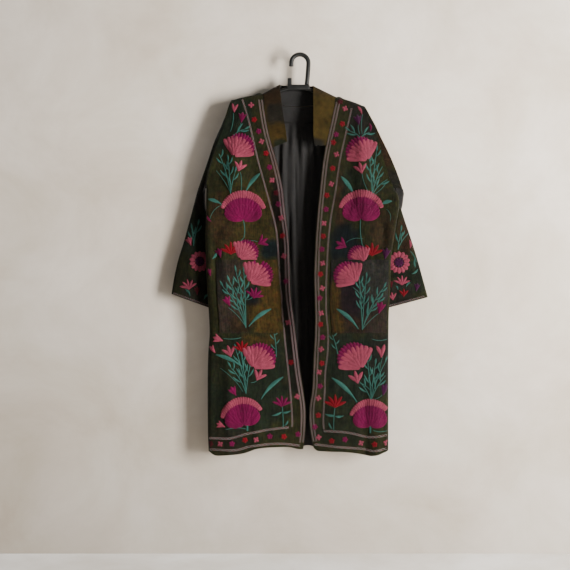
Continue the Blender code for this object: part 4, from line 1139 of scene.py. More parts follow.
BLADE_STEP = 3.5          # between two rows of points along a blade
BLADE_ENDS = (0.7, 0.55)  # how much narrower its first and last rows are drawn in
LEAF_WIDTH = 12.0
SLIM = 0.3                # width of a slim leaf's foot, as a share of its middle's
TWIG_START = 0.40         # where a twig's first leaves grow, as a share of its length
TWIG_SPAN = 0.5           # the stretch that the rest of them take up
TWIG_WIDTH = 3.2
TWIG_LEAF = 30.0
TWIG_LEAF_WIDTH = 6.0
TWIG_LEAF_BEND = 2.2
TWIG_LEAF_SIZE = 1.15     # of a leaf at the twig's foot, and how much smaller one is at its end
TWIG_LEAF_LOSS = 0.35
TWIG_TIP_LEAF = 0.7
TWIG_TIP_WIDTH = 6.4
TWIG_STAGGER = 0.25       # half the step from a pair's left leaf to its right one
TWIG_TURN = 26            # degrees from a twig to its leaves, and more on every second pair
TWIG_TURN_MORE = 4
TWIG_BEND = -0.12         # of a twig in a spray, as a share of its lean
TWIG_PITCH = 52           # length of twig for each pair of leaves


def blade(work, base, tip, width, yarn, bend=0.0, belly=0.55, crown=PETAL_CROWN, lift=0.0,
          blunt=0.35):
    """A petal or leaf: satin stitch that swells between its base and its tip."""
    base, tip = np.array(base, float), np.array(tip, float)
    run = tip - base
    aside = np.array([-run[1], run[0]]) / np.linalg.norm(run)
    t = np.linspace(0, 1, max(5, int(np.linalg.norm(run) / BLADE_STEP)))[:, None]
    middle = base + run * t + aside * bend * 4 * t * (1 - t)
    swell = np.where(t < belly, ease(t / belly), ease((1 - t) / (1 - belly)) ** 0.6)
    half = width * 0.5 * (blunt + (1 - blunt) * swell)
    half[0], half[-1] = half[0] * BLADE_ENDS[0], half[-1] * BLADE_ENDS[1]
    pad(work, middle - aside * half, middle + aside * half, yarn, crown, lift)


def stem(work, base, tip, bend, width):
    """A stem of even width, with a slight bow."""
    blade(work, base, tip, width, "teal", bend, crown=STEM_CROWN, blunt=0.9)


def leaf(work, base, tip, bend, width=LEAF_WIDTH):
    """A broad leaf by itself, widest past its middle."""
    blade(work, base, tip, width, "teal", bend, belly=0.62, blunt=SLIM)


def twig(work, base, tip, bend, leaves):
    """A stem with narrow leaves that point forward on both sides, and one at its end."""
    base, tip = np.array(base, float), np.array(tip, float)
    run = tip - base
    length = np.linalg.norm(run)
    aside = np.array([-run[1], run[0]]) / length
    stem(work, base, tip, bend, TWIG_WIDTH)
    turn = math.degrees(math.atan2(run[0], -run[1]))
    for number in range(leaves):
        for side in (-1, 1):
            t = TWIG_START + TWIG_SPAN * (number + TWIG_STAGGER * (side + 1)) / max(1, leaves - 0.5)
            start = base + run * t + aside * bend * 4 * t * (1 - t)
            way = toward_turn(turn + side * (TWIG_TURN + TWIG_TURN_MORE * (number % 2)))
            end = start + way * TWIG_LEAF * (TWIG_LEAF_SIZE - TWIG_LEAF_LOSS * t)
            blade(work, start, end, TWIG_LEAF_WIDTH, "teal", side * TWIG_LEAF_BEND,
                  crown=STEM_CROWN, blunt=SLIM)
    blade(work, tip, tip + run / length * TWIG_LEAF * TWIG_TIP_LEAF, TWIG_TIP_WIDTH, "teal",
          crown=STEM_CROWN, blunt=SLIM)


def spray(work, base, tips):
    """Several twigs from one foot."""
    for tip in tips:
        lean = tip[0] - base[0]
        reach = math.hypot(lean, tip[1] - base[1])
        twig(work, base, tip, TWIG_BEND * lean, max(1, round(reach / TWIG_PITCH)))


CUP_SHORTER = 0.06        # of a cup's outer petals, as a share of the middle one
CUP_BEND = 2.2
CUP_STEP = 0.25           # by which every second petal of a cup lies higher
BUD_TURN = 24             # degrees to each of a bud's narrow petals
BUD_BEND = 3.0
BUD_SIDE = (0.95, 0.34)   # length and width of those, as shares of the bud's size
BUD_MIDDLE = 0.42         # width of the wide petal, likewise
BUD_LIFT = 0.5            # by which it lies higher


def tulip(work, centre, turn, size, yarn, petals=3, spread=36.0, width=0.31):
    """A cup of a few long petals, cut off flat where they meet. The width is one petal's, as a
    share of the size."""
    base = np.array(centre, float) - toward_turn(turn) * size * 0.5
    for number in range(petals):
        lean = 2 * number / (petals - 1) - 1
        tip = base + toward_turn(turn + spread * lean) * size * (1.0 - CUP_SHORTER * abs(lean))
        blade(work, base, tip, size * width, yarn, bend=-CUP_BEND * lean, belly=0.6,
              lift=CUP_STEP * (number % 2))


def lily(work, centre, turn, size, yarn):
    """A wider cup of five narrower petals."""
    tulip(work, centre, turn, size, yarn, petals=5, spread=62, width=0.27)


def bud(work, centre, turn, size, yarn):
    """A closed flower: one wide petal between two narrow ones."""
    base = np.array(centre, float) - toward_turn(turn) * size * 0.5
    for side in (-1, 1):
        tip = base + toward_turn(turn + side * BUD_TURN) * size * BUD_SIDE[0]
        blade(work, base, tip, size * BUD_SIDE[1], yarn, bend=-side * BUD_BEND, belly=0.5)
    blade(work, base, base + toward_turn(turn) * size, size * BUD_MIDDLE, yarn, lift=BUD_LIFT)


DOT_SIZE = 16.5
DOT_EYE = 0.6             # from its middle to the foot of a petal
DOT_REACH = 0.52          # from its middle to the tip, as a share of its size
DOT_PETAL = 0.46          # width of a petal, likewise
DOT_PETALS = 5
PINK_PETALS = 4           # of a pink one on the fronts
DOT_TURN = 23.0           # from one small flower of a row to the next
PETAL_STEP = 0.3          # by which every second petal of a ring lies higher


def dot(work, centre, yarn, petals, turn):
    """A small round flower of a few fat stitches."""
    centre = np.array(centre, float)
    for number in range(petals):
        way = toward_turn(turn + 360 * number / petals)
        blade(work, centre + way * DOT_EYE, centre + way * DOT_SIZE * DOT_REACH,
              DOT_SIZE * DOT_PETAL, yarn, belly=0.65, blunt=0.5)


def arch(work, base, turn, span, radii, count, width, yarn, lift=0.0, bulge=0.0, bow=0.0):
    """Petals side by side round part of a circle, between the two angles of a span about the turn
    and from an inner radius to an outer. A bulge makes the middle ones the longest, and a bow
    curves the outer ones round, like a bowl."""
    base = np.array(base, float)
    inner, outer = radii
    for number in range(count):
        share = number / (count - 1)
        aside = 2 * share - 1
        way = toward_turn(turn + span[0] + (span[1] - span[0]) * share)
        reach = inner + (outer - inner) * (1 - bulge * aside**2)
        blade(work, base + way * inner, base + way * reach, width, yarn, bow * aside, 0.7,
              lift=lift + PETAL_STEP * (number % 2), blunt=0.7)


def fan(work, base, turn, size):
    """A carnation from the side: pink petals spread like a fan, with a toothed magenta rim."""
    side = 1 if turn > 0 else -1
    rim = (-36 * side, 52 * side)
    arch(work, base, turn, rim, (size * 0.60, size), 13, size * 0.13, "magenta", bulge=0.5)
    arch(work, base, turn, (-56, 56), (size * 0.06, size * 0.80), 10, size * 0.20, "pink", lift=0.5)
    arch(work, base, turn, (-50, 50), (size * 0.04, size * 0.50), 7, size * 0.16, "pink", lift=1.1)


def poppy(work, base, turn, size):
    """A poppy from the side: a magenta bowl under a wide pink rim of rounded petals."""
    arch(work, base, turn, (-70, 70), (1, size * 0.80), 17, size * 0.18, "magenta", lift=0.1,
         bulge=0.16, bow=9)
    arch(work, base, turn, (-50, 50), (3, size * 0.52), 9, size * 0.16, "magenta", lift=0.8,
         bulge=0.1, bow=6)
    arch(work, base, turn, (-58, 58), (size * 0.74, size), 23, size * 0.12, "pink", lift=0.5,
         bulge=0.45)


THISTLE_STEM = (2.0, 3.0)   # bend and width
THISTLE_LEAVES = ((0.35, -1), (0.55, 1), (0.75, -1), (0.92, 1))   # how far up, and the side
THISTLE_TURN = 42
THISTLE_LEAF = (19, 4.2)  # length and width
ROSETTE_PETALS = 14
ROSETTE_PETAL = (0.46, 0.42)   # radius of its foot and its width, as shares of the whole
ROSETTE_MIDDLE = 8
MIDDLE_PETAL = (0.48, 0.26)    # radius of its tip and its width, likewise
MIDDLE_TURN = 10
MIDDLE_LIFT = 0.4


def thistle(work, base, tip):
    """A small upright plant of narrow leaves."""
    stem(work, base, tip, *THISTLE_STEM)
    base, tip = np.array(base, float), np.array(tip, float)
    length, width = THISTLE_LEAF
    for share, side in THISTLE_LEAVES:
        start = base + (tip - base) * share
        blade(work, start, start + toward_turn(side * THISTLE_TURN) * length, width, "teal",
              side * 2, crown=STEM_CROWN)


def rosette(work, centre, size):
    """A daisy seen from above: a ring of pink petals round a plum middle."""
    centre = np.array(centre, float)
    for number in range(ROSETTE_PETALS):
        way = toward_turn(360 * number / ROSETTE_PETALS)
        blade(work, centre + way * size * ROSETTE_PETAL[0], centre + way * size,
              size * ROSETTE_PETAL[1], "pink", belly=0.6, lift=PETAL_STEP * (number % 2), blunt=0.6)
    for number in range(ROSETTE_MIDDLE):
        way = toward_turn(360 * number / ROSETTE_MIDDLE + MIDDLE_TURN)
        blade(work, centre + way, centre + way * size * MIDDLE_PETAL[0], size * MIDDLE_PETAL[1],
              "plum", belly=0.6, lift=MIDDLE_LIFT)


BRAID_YARNS = ("grey", "rose")
BRAID_PITCH = 13.5
BRAID_SWING = 2.1
BRAID_STEP = 1.5
WIDE_BRAID = 1.35         # size of the braids along the hems
STRAND_WIDTH = 0.95
STRAND_CROWN = 0.9
STRAND_LIFT = 0.25        # of a strand, halfway between its lowest and its highest crossing
STRAND_STEPS = 12         # rows of points in one length of a strand
ROUTE_STEP = 6.0


def walk(route):
    """Distance walked along a route to each of its places."""
    return np.insert(np.cumsum(np.linalg.norm(np.diff(route, axis=0), axis=1)), 0, 0)


def at_distance(route, walked, s):
    """Places on a route at these distances along it."""
    return np.stack([np.interp(s, walked, route[:, k]) for k in (0, 1)], axis=-1)


def braid(work, route, size=1.0):
    """A braid along a route of x and drop: two threads that cross over and under."""
    walked = walk(route)
    s = np.linspace(0, walked[-1], int(walked[-1] / BRAID_STEP))
    middle = at_distance(route, walked, s)
    run = np.gradient(middle, axis=0)
    run = run / np.linalg.norm(run, axis=1, keepdims=True)
    aside = np.stack([-run[:, 1], run[:, 0]], axis=1)
    for strand, yarn in enumerate(BRAID_YARNS):
        phase = 2 * math.pi * s / (BRAID_PITCH * size) + strand * math.pi
        swung = middle + aside * (BRAID_SWING * size * np.sin(phase))[:, None]
        pace = np.gradient(swung, axis=0)
        pace = pace / np.linalg.norm(pace, axis=1, keepdims=True)
        half = np.stack([-pace[:, 1], pace[:, 0]], axis=1) * STRAND_WIDTH * size / 2
        over = STRAND_LIFT * (1 + np.cos(phase))
        for start in range(0, len(s) - 1, STRAND_STEPS):
            part = slice(start, min(start + STRAND_STEPS + 1, len(s)))
            pad(work, swung[part] - half[part], swung[part] + half[part], yarn, STRAND_CROWN,
                over[part])


def column_route(grid, column, shift, first_drop, last_drop):
    """x and drop down one column of a cloth's grid, moved sideways, between two drops."""
    x, drop = grid[:, column, 0] / MM + shift, -grid[:, column, 2] / MM
    kept = (drop >= first_drop) & (drop <= last_drop)
    return np.stack([x[kept], drop[kept]], axis=1)


def smooth_route(points):
    """A smooth line through a few places that go from left to right."""
    x = np.arange(points[0][0], points[-1][0], ROUTE_STEP)
    return np.stack([x, along(points, x)], axis=1)


def sewn(work, flowers=(), leaves=(), stems=(), sprays=(), dots=()):
    """Works the rows of these tables. Each row of flowers has its kind, x, drop, turn, size and
    yarn, and each row of leaves and stems has two ends, a bend and a width."""
    for x0, drop0, x1, drop1, bend, width in stems:
        stem(work, (x0, drop0), (x1, drop1), bend, width)
    for base, tips in sprays:
        spray(work, base, tips)
    for x0, drop0, x1, drop1, bend, width in leaves:
        leaf(work, (x0, drop0), (x1, drop1), bend, width)
    for kind, x, drop, turn, size, yarn in flowers:
        if kind == "fan":
            fan(work, (x, drop), turn, size)
        elif kind == "poppy":
            poppy(work, (x, drop), turn, size)
        elif kind == "lily":
            lily(work, (x, drop), turn, size, yarn)
        elif kind == "tulip":
            tulip(work, (x, drop), turn, size, yarn)
        elif kind == "bud":
            bud(work, (x, drop), turn, size, yarn)
        elif kind == "rosette":
            rosette(work, (x, drop), size)
    for number, (yarn, x, drop) in enumerate(dots):
        petals = PINK_PETALS if yarn == "pink" else DOT_PETALS
        dot(work, (x, drop), yarn, petals, DOT_TURN * number)


EDGE_ROWS = (4.0, 12.0)   # in from the opening edge, to the middle of each braid
BORDER_COLUMN = len(TURN_ANGLES) + BODY_COLUMNS


def banded(work, grid, border, inward, edge_drops, border_drops, hems):
    """The braids of one front: two down its opening edge, one down its border, two at its hem."""
    for inset in EDGE_ROWS:
        braid(work, column_route(grid, -1, inward * inset, *edge_drops))
    braid(work, column_route(grid, border, 0, *border_drops))
    for hem in hems:
        braid(work, smooth_route(hem), WIDE_BRAID)


# The right front's flowers
# Wool flowers from the shoulder to the hem of the wearer's right front, with leafy sprays between
# them and a row of small round ones down its band and along its hem.
RIGHT_FLOWERS = (
    ("tulip", -191, 150, -12, 27, "pink"), ("bud", -166, 178, 8, 30, "magenta"),
    ("fan", -188, 290, 26, 72, None), ("tulip", -171, 318, 16, 32, "pink"),
    ("poppy", -162, 472, 0, 84, None), ("bud", -262, 472, -60, 22, "magenta"),
    ("lily", -197, 553, 0, 36, "red"), ("bud", -230, 566, -18, 28, "magenta"),
    ("tulip", -106, 533, 60, 32, "magenta"), ("fan", -172, 582, 38, 62, None),
    ("bud", -258, 622, -20, 22, "magenta"), ("bud", -234, 812, -70, 30, "pink"),
    ("bud", -250, 842, -40, 24, "pink"), ("tulip", -202, 846, -16, 34, "pink"),
    ("lily", -166, 832, 4, 32, "red"), ("fan", -134, 893, 30, 78, None),
    ("tulip", -116, 914, 26, 34, "pink"), ("bud", -190, 960, -30, 30, "magenta"),
    ("poppy", -160, 1056, -12, 80, None), ("bud", -226, 1058, -70, 26, "pink"),
    ("lily", -52, 989, 0, 32, "magenta"))
RIGHT_LEAVES = ((-154, 390, -114, 339, -4, 13), (-222, 430, -262, 413, 3, 11),
                (-250, 584, -238, 566, 2, 8), (-168, 889, -240, 857, 5, 12),
                (-111, 983, -48, 920, -6, 12), (-80, 1030, -52, 1020, 2, 7),
                (-26, 1016, -50, 1022, -2, 7), (-46, 1060, -34, 1044, 2, 6))
RIGHT_STEMS = ((-199, 219, -191, 164, 3, 2.6), (-177, 219, -169, 194, 2, 2.6),
               (-160, 524, -162, 472, 3, 3.0), (-180, 560, -161, 524, -3, 2.6),
               (-162, 540, -120, 535, -6, 2.0), (-222, 430, -256, 470, 7, 1.8),
               (-198, 396, -240, 330, 3, 2.0), (-168, 392, -170, 336, 2, 2.4),
               (-168, 808, -218, 810, -3, 2.6), (-228, 895, -162, 963, -6, 1.8),
               (-140, 936, -122, 930, 2, 2.4), (-150, 1074, -150, 1038, 0, 6.5),
               (-154, 1068, -212, 1070, 4, 2.4), (-48, 1064, -51, 1002, 1, 2.6),
               (-172, 880, -190, 862, 2, 2.2), (-164, 880, -166, 848, 1, 2.4))
RIGHT_SPRAYS = (((-198, 398), ((-232, 282), (-205, 306), (-186, 340))),
                ((-190, 232), ((-222, 214), (-160, 214))),
                ((-154, 968), ((-182, 846), (-142, 884), (-196, 894), (-166, 866))))
RIGHT_DOTS = (("pink", -140, 142), ("red", -131, 185), ("magenta", -118, 219), ("pink", -110, 248),
              ("red", -97, 282), ("magenta", -87, 322), ("pink", -80, 359), ("dark_red", -68, 396),
              ("magenta", -62, 428), ("pink", -54, 467), ("red", -50, 518), ("pink", -46, 576),
              ("magenta", -40, 647), ("pink", -34, 764), ("red", -26, 878), ("pink", -8, 975),
              ("magenta", -6, 1083), ("dark_red", -256, 1112), ("pink", -228, 1112),
              ("magenta", -194, 1110), ("red", -157, 1100), ("pink", -125, 1098),
              ("magenta", -86, 1089), ("red", -46, 1090))
RIGHT_UPPER_HEM = ((-260, 1096), (-211, 1096), (-151, 1082), (-89, 1070), (-26, 1063))
RIGHT_LOWER_HEM = ((-258, 1128), (-191, 1129), (-131, 1116), (-61, 1110), (6, 1116))
RIGHT_EDGE_DROPS = (122, 1112)
RIGHT_BORDER_DROPS = (122, 1062)

right_work = new_work(coat_right, -1, coat_pocket_right)
sewn(right_work, RIGHT_FLOWERS, RIGHT_LEAVES, RIGHT_STEMS, RIGHT_SPRAYS, RIGHT_DOTS)
thistle(right_work, (-68, 864), (-74, 796))
banded(right_work, right_grid, right_columns[BORDER_COLUMN], -1, RIGHT_EDGE_DROPS,
       RIGHT_BORDER_DROPS, (RIGHT_UPPER_HEM, RIGHT_LOWER_HEM))
finished_work(right_work, "embroidery_front_right")

# The left front's flowers
# Much the same flowers on the wearer's left front, none of them an exact twin, since all were drawn
# by hand. Their colours are darkened with the cloth's, as painted shade.
LEFT_FLOWERS = (
    ("tulip", 180, 155, 10, 28, "pink"), ("bud", 166, 185, -8, 30, "plum"),
    ("bud", 205, 206, 20, 24, "magenta"), ("fan", 192, 301, -30, 74, None),
    ("tulip", 172, 324, -12, 34, "pink"), ("bud", 250, 334, 30, 20, "red"),
    ("bud", 264, 366, 40, 22, "pink"), ("poppy", 174, 470, 0, 84, None),
    ("tulip", 117, 542, -60, 34, "magenta"), ("lily", 205, 556, 0, 38, "red"),
    ("bud", 244, 568, 10, 32, "plum"), ("fan", 182, 592, -36, 54, None),
    ("tulip", 236, 846, 14, 38, "pink"), ("fan", 174, 895, -30, 82, None),
    ("tulip", 160, 920, -14, 38, "pink"), ("bud", 242, 956, 20, 34, "plum"),
    ("poppy", 200, 1060, 0, 78, None), ("lily", 100, 988, 0, 38, "red"))
LEFT_LEAVES = ((154, 402, 117, 348, 4, 13), (228, 430, 262, 419, -3, 12),
               (162, 992, 90, 922, 6, 13), (72, 1026, 98, 1030, 2, 8),
               (124, 1030, 100, 1032, -2, 8), (92, 1068, 82, 1050, -2, 6))
LEFT_STEMS = ((177, 228, 180, 168, -3, 2.6), (170, 228, 167, 200, -2, 2.4),
              (200, 402, 176, 340, -4, 2.4), (208, 402, 250, 360, 4, 2.0),
              (246, 442, 256, 476, -6, 1.8), (177, 544, 172, 470, -3, 3.0),
              (180, 527, 130, 538, 7, 1.8), (184, 560, 178, 544, 0, 2.6),
              (205, 812, 250, 812, 4, 2.4), (202, 960, 168, 936, 3, 2.4),
              (204, 984, 236, 970, 3, 2.0), (200, 1080, 200, 1050, 0, 6.5),
              (208, 1072, 250, 1074, 3, 2.6), (96, 1074, 100, 1002, -2, 2.8),
              (228, 900, 236, 862, -2, 2.2))
LEFT_SPRAYS = (((205, 404), ((200, 310), (219, 278), (236, 318), (250, 356))),
               ((172, 240), ((145, 219), (200, 222))),
               ((202, 988), ((191, 866), (214, 888), (242, 880), (244, 916), (170, 934))))
LEFT_DOTS = (("dark_red", 116, 132), ("pink", 129, 152), ("red", 121, 197), ("magenta", 103, 228),
             ("red", 95, 251), ("pink", 104, 285), ("red", 93, 325), ("pink", 89, 370),
             ("red", 76, 402), ("magenta", 74, 442), ("pink", 68, 482), ("red", 66, 519),
             ("magenta", 62, 556), ("pink", 64, 596), ("red", 58, 627), ("pink", 63, 667),
             ("magenta", 56, 695), ("pink", 60, 738), ("red", 58, 770), ("magenta", 64, 807),
             ("pink", 60, 841), ("red", 62, 881), ("pink", 54, 906), ("magenta", 57, 946),
             ("pink", 52, 980), ("red", 52, 1029), ("magenta", 42, 1062), ("pink", 53, 1092),
             ("red", 90, 1102), ("magenta", 128, 1098), ("pink", 174, 1109), ("red", 212, 1112),
             ("pink", 246, 1108))
LEFT_UPPER_HEM = ((68, 1074), (114, 1076), (154, 1082), (196, 1092), (252, 1086))
LEFT_LOWER_HEM = ((42, 1112), (114, 1120), (174, 1125), (208, 1131), (250, 1124))
LEFT_EDGE_DROPS = (132, 1110)
LEFT_BORDER_DROPS = (148, 1072)

left_work = new_work(coat_left, -1, coat_pocket_left, LEFT_PAINTED_SHADE)
sewn(left_work, LEFT_FLOWERS, LEFT_LEAVES, LEFT_STEMS, LEFT_SPRAYS, LEFT_DOTS)
thistle(left_work, (108, 861), (92, 800))
banded(left_work, left_grid, left_columns[BORDER_COLUMN], 1, LEFT_EDGE_DROPS,
       LEFT_BORDER_DROPS, (LEFT_UPPER_HEM, LEFT_LOWER_HEM))
finished_work(left_work, "embroidery_front_left")

# The pockets' flowers
# The patches were cut from the same worked cloth, so each holds part of a plant. Running stitches
# of dark cotton hold them down.
STITCH_PITCH = 6.0
STITCH_LENGTH = 3.8
STITCH_WIDTH = 0.9
STITCH_CROWN = 0.5
STITCH_LIFT = 0.3
STITCH_INSET = 3.0        # from the pocket's edge


def sewn_down(work, grid):
    """Running stitches of dark cotton along the two sides and the foot of a pocket."""
    x, drop = grid[:, :, 0] / MM, -grid[:, :, 2] / MM
    edge = np.concatenate([np.stack([x[:, 0], drop[:, 0]], axis=1),
                           np.stack([x[-1, 1:], drop[-1, 1:]], axis=1),
                           np.stack([x[-2::-1, -1], drop[-2::-1, -1]], axis=1)])
    middle = np.array([x.mean(), drop.mean()])
    edge += np.sign(middle - edge) * STITCH_INSET
    walked = walk(edge)
    for start in np.arange(STITCH_PITCH, walked[-1] - STITCH_PITCH, STITCH_PITCH):
        ends = at_distance(edge, walked, np.array([start, start + STITCH_LENGTH]))
        blade(work, ends[0], ends[1], STITCH_WIDTH, "cotton", crown=STITCH_CROWN,
              lift=STITCH_LIFT, blunt=0.8)


pocket_work = new_work(coat_pocket_right, -1)
sewn_down(pocket_work, right_pocket)
sewn(pocket_work,
     flowers=(("fan", -142, 650, 40, 74, None), ("lily", -128, 680, 16, 32, "magenta"),
              ("bud", -206, 704, -26, 30, "magenta")),
     leaves=((-146, 776, -82, 726, -6, 13),),
     stems=((-154, 778, -204, 722, 4, 2.0), (-152, 700, -134, 692, 2, 2.2)),
     sprays=(((-154, 780), ((-182, 622), (-160, 624), (-200, 650), (-218, 664))),))
finished_work(pocket_work, "embroidery_pocket_right")
# The left pocket's wool keeps the same painted shade as its cloth.
pocket_work = new_work(coat_pocket_left, -1, tone=LEFT_PAINTED_SHADE)
sewn_down(pocket_work, left_pocket)
sewn(pocket_work,
     flowers=(("fan", 159, 651, -42, 72, None), ("bud", 228, 722, 14, 34, "magenta")),
     leaves=((166, 784, 104, 726, 6, 13),),
     stems=((178, 784, 224, 738, -3, 2.2), (180, 700, 150, 664, 3, 2.2)),
     sprays=(((177, 786), ((168, 640), (188, 642), (236, 668), (226, 698))),))
finished_work(pocket_work, "embroidery_pocket_left")

# The sleeves' flowers
# A daisy and small flowers above a single braid round each cuff, and a bud or two higher up. The
# backs of the sleeves are worked like their fronts.
CUFF_ROUTES = {-1: ((-365, 681), (-290, 708), (-224, 731)),
               1: ((227, 725), (290, 709), (364, 689))}
SLEEVE_FLOWERS = {
    -1: (("bud", -278, 396, -20, 20, "plum"), ("bud", -318, 532, -20, 26, "pink"),
         ("rosette", -288, 590, 0, 30, None), ("bud", -256, 622, 20, 26, "magenta"),
         ("lily", -322, 656, -10, 30, "pink"), ("bud", -296, 674, 0, 24, "dark_red")),
    1: (("bud", 322, 540, 20, 26, "pink"), ("rosette", 285, 593, 0, 32, None),
        ("lily", 294, 644, 0, 28, "pink"), ("tulip", 299, 680, 0, 24, "red"),
        ("bud", 337, 664, 10, 24, "plum"), ("bud", 262, 655, -10, 22, "dark_red"),
        ("tulip", 266, 690, -10, 24, "pink"))}
SLEEVE_SPRAYS = {-1: (((-306, 546), ((-311, 500), (-294, 488))), ((-262, 660), ((-250, 684),))),
                 1: (((282, 556), ((290, 506), (314, 508))), ((318, 560), ((336, 592),)))}
SLEEVE_LEAVES = {-1: ((-316, 690, -330, 670, 3, 8), (-276, 700, -262, 684, -3, 8)),
                 1: ((306, 664, 318, 650, -3, 7), (322, 626, 340, 612, 3, 7),
                     (282, 672, 276, 660, 2, 6))}
# The wool of each sleeve is darkened by the same painted shade as its cloth.
for sleeve, side in ((coat_sleeve_right, -1), (coat_sleeve_left, 1)):
    for toward in (-1, 1):
        sleeve_work = new_work(sleeve, toward, tone=LEFT_PAINTED_SHADE if side > 0 else RIGHT_SLEEVE_PAINTED_SHADE)
        sewn(sleeve_work, SLEEVE_FLOWERS[side], SLEEVE_LEAVES[side], (), SLEEVE_SPRAYS[side])
        braid(sleeve_work, smooth_route(CUFF_ROUTES[side]))
        hand, face = ("right" if side < 0 else "left"), ("front" if toward < 0 else "back")
        finished_work(sleeve_work, f"embroidery_sleeve_{hand}_{face}")

# The back's flowers
# Eight like plants in three rows, each the other way round from the last, and a border along the
# hem like the fronts'.
BACK_PLANTS = ((-150, 430), (6, 480), (158, 430), (-90, 760), (86, 760), (-170, 1030), (4, 1030),
               (172, 1030))
BACK_DOTS_PITCH = 34.0
BACK_HEM_ROWS = (44.0, 14.0)   # up from the hem
back_work = new_work(coat_back, 1)
for number, (x, drop) in enumerate(BACK_PLANTS):
    side = -1 if number % 2 else 1
    poppy(back_work, (x, drop), 0, 68)
    stem(back_work, (x, drop + 34), (x, drop), 2 * side, 4.0)
    spray(back_work, (x + 22 * side, drop - 78), ((x - 6 * side, drop - 172),
                                                 (x + 20 * side, drop - 196),
                                                 (x + 46 * side, drop - 168)))
    fan(back_work, (x - 26 * side, drop - 128), -22 * side, 52)
    leaf(back_work, (x - 30 * side, drop - 62), (x - 68 * side, drop - 104), 5 * side)
    leaf(back_work, (x + 44 * side, drop - 34), (x + 84 * side, drop - 50), -4 * side)
    tulip(back_work, (x + 58 * side, drop - 120), 16 * side, 32, "pink")
    lily(back_work, (x - 58 * side, drop + 10), 0, 32, "red")
    bud(back_work, (x + 74 * side, drop + 4), 20 * side, 28, "magenta")
hem_x = np.arange(-240.0, 236.0, ROUTE_STEP)
hem_drop = along(HEM, hem_x)
for up in BACK_HEM_ROWS:
    braid(back_work, np.stack([hem_x, hem_drop - up], axis=1), WIDE_BRAID)
for number, x in enumerate(np.arange(-226, 230, BACK_DOTS_PITCH)):
    yarn = ("pink", "red", "magenta")[number % 3]
    middle = float(along(HEM, x)) - sum(BACK_HEM_ROWS) / 2
    dot(back_work, (x, middle), yarn, DOT_PETALS, DOT_TURN * number)
finished_work(back_work, "embroidery_back")

# The wall, the floor, the lights and the camera
# A pale wall stands close behind the coat and a pale floor below it. A large window-like light from
# the viewer's right throws a soft shadow to the left. The wall is clear when seen from behind.
WALL_Y = 0.046
FLOOR_Z = -1.445
ROOM_SIZE = 12
WALL_RISE = 3             # of the wall's middle above the floor
FRAME_WIDTH = 1.6245      # metres across the picture, at the coat's fronts
CAMERA_DISTANCE = 2.8
PICTURE_CENTRE = (-0.0428, -0.658)
FRONTS_Y = -0.032
KEY_TURN = 50.0           # degrees from the wall's normal to the viewer's right
KEY_DISTANCE = 3.2
KEY_SIZE = (0.8, 1.7)
KEY_WATTS = 300.0
FILL_SIZE = (2.5, 2.5)
FILL_WATTS = 5.0
BACK_SIZE = (1.6, 1.6)
BACK_WATTS = 110.0
BACK_LEFT_WATTS = 66.0
LIT_MIDDLE = (0, 0, -0.62)
SKY_COLOUR = (0.80, 0.79, 0.78, 1)
SKY_STRENGTH = 0.19
DIRT = (0.77, 0.73, 0.67)    # how much of its colour the plaster keeps where it is stained
WALL_FOOT_SHADE = 0.62               # painted shade: how much of its light the plaster keeps at the foot of the wall
WALL_SHADE_FROM = -3.0          # metres from the wall's middle, along its own upright axis
WALL_SHADE_TO = -1.75


def plain_wall(name, colour, one_sided):
    """Matte plaster with faint clouds, and painted shade that darkens it towards the low end of its
    own Y axis, the foot of a wall. One-sided plaster is clear from behind.
    """
    made, shader = new_finish(name, {"Roughness": 0.95, "Specular IOR Level": 0.1})
    place = node(made, "TexCoord")
    clouds = node(made, "TexNoise", {"Scale": 2.9, "Detail": 9, "Roughness": 0.62,
                                     "Distortion": 0.4})
    tone = node(made, "ValToRGB")
    stained, clean = tone.color_ramp.elements
    stained.position = 0.32
    stained.color = tuple(c * k for c, k in zip(colour, DIRT)) + (1,)
    clean.position = 0.66
    clean.color = colour + (1,)
    split = node(made, "SeparateXYZ")
    # Painted shade, darker towards the foot of the wall.
    rise = node(made, "MapRange", {"From Min": WALL_SHADE_FROM, "From Max": WALL_SHADE_TO, "To Min": WALL_FOOT_SHADE,
                                   "To Max": 1.0})
    shade = node(made, "VectorMath", operation="SCALE")
    linked(made, (place, "Object", clouds, "Vector"), (clouds, "Fac", tone, "Fac"),
           (place, "Object", split, "Vector"), (split, "Y", rise, "Value"),
           (tone, "Color", shade, 0), (rise, "Result", shade, "Scale"),
           (shade, "Vector", shader, "Base Color"))
    if one_sided:
        side = node(made, "NewGeometry")
        clear = node(made, "BsdfTransparent")
        mix = node(made, "MixShader")
        linked(made, (side, "Backfacing", mix, "Fac"), (shader, "BSDF", mix, 1),
               (clear, "BSDF", mix, 2),
               (mix, "Shader", made.node_tree.nodes["Material Output"], "Surface"))
    return made


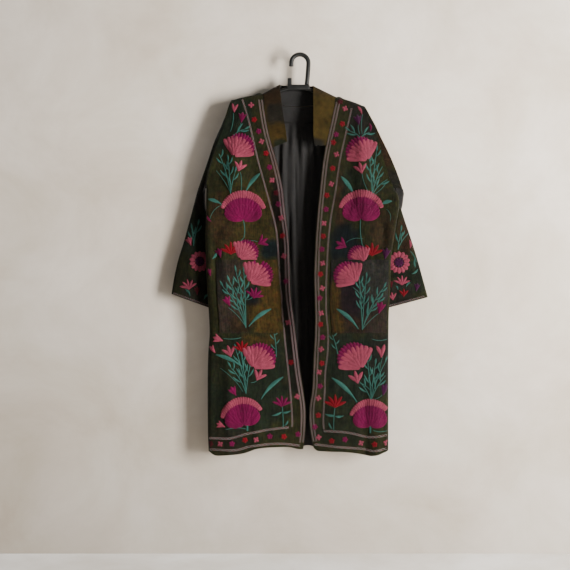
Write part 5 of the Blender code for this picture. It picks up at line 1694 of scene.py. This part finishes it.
bpy.ops.mesh.primitive_plane_add(size=ROOM_SIZE, location=(0, WALL_Y, FLOOR_Z + WALL_RISE),
                                 rotation=(math.pi / 2, 0, 0))
backdrop = bpy.context.object
backdrop.name = "backdrop"
backdrop.visible_shadow = False
backdrop.data.materials.append(plain_wall("wall_plaster", (0.80, 0.735, 0.655), True))
bpy.ops.mesh.primitive_plane_add(size=ROOM_SIZE, location=(0, 0, FLOOR_Z))
floor = bpy.context.object
floor.name = "floor"
floor.data.materials.append(plain_wall("floor_plaster", (0.74, 0.72, 0.69), False))

key_turn = math.radians(KEY_TURN)
key_place = (KEY_DISTANCE * math.sin(key_turn), -KEY_DISTANCE * math.cos(key_turn), LIT_MIDDLE[2])
for name, place, size, watts, colour in (
        ("window", key_place, KEY_SIZE, KEY_WATTS, (1.0, 0.965, 0.92)),
        ("fill", (-2.2, -2.4, 0.3), FILL_SIZE, FILL_WATTS, (0.9, 0.95, 1.0)),
        ("behind_right", (1.9, 2.2, 0.4), BACK_SIZE, BACK_WATTS, (1.0, 0.98, 0.95)),
        ("behind_left", (-1.9, 2.4, 0.0), BACK_SIZE, BACK_LEFT_WATTS, (0.93, 0.96, 1.0))):
    light = bpy.data.objects.new(name, bpy.data.lights.new(name, "AREA"))
    light.data.shape = "RECTANGLE"
    light.data.size, light.data.size_y = size
    light.data.energy = watts
    light.data.color = colour
    light.location = place
    light.rotation_euler = (Vector(LIT_MIDDLE) - Vector(place)).to_track_quat("-Z", "Y").to_euler()
    bpy.context.scene.collection.objects.link(light)
sky = bpy.data.worlds.new("pale_room")
sky.use_nodes = True
sky.node_tree.nodes["Background"].inputs["Color"].default_value = SKY_COLOUR
sky.node_tree.nodes["Background"].inputs["Strength"].default_value = SKY_STRENGTH
bpy.context.scene.world = sky

camera = bpy.data.objects.new("camera", bpy.data.cameras.new("camera"))
bpy.context.scene.collection.objects.link(camera)
camera.location = (PICTURE_CENTRE[0], FRONTS_Y - CAMERA_DISTANCE, PICTURE_CENTRE[1])
camera.rotation_euler = (math.pi / 2, 0, 0)
camera.data.lens = camera.data.sensor_width * CAMERA_DISTANCE / FRAME_WIDTH
bpy.context.scene.camera = camera
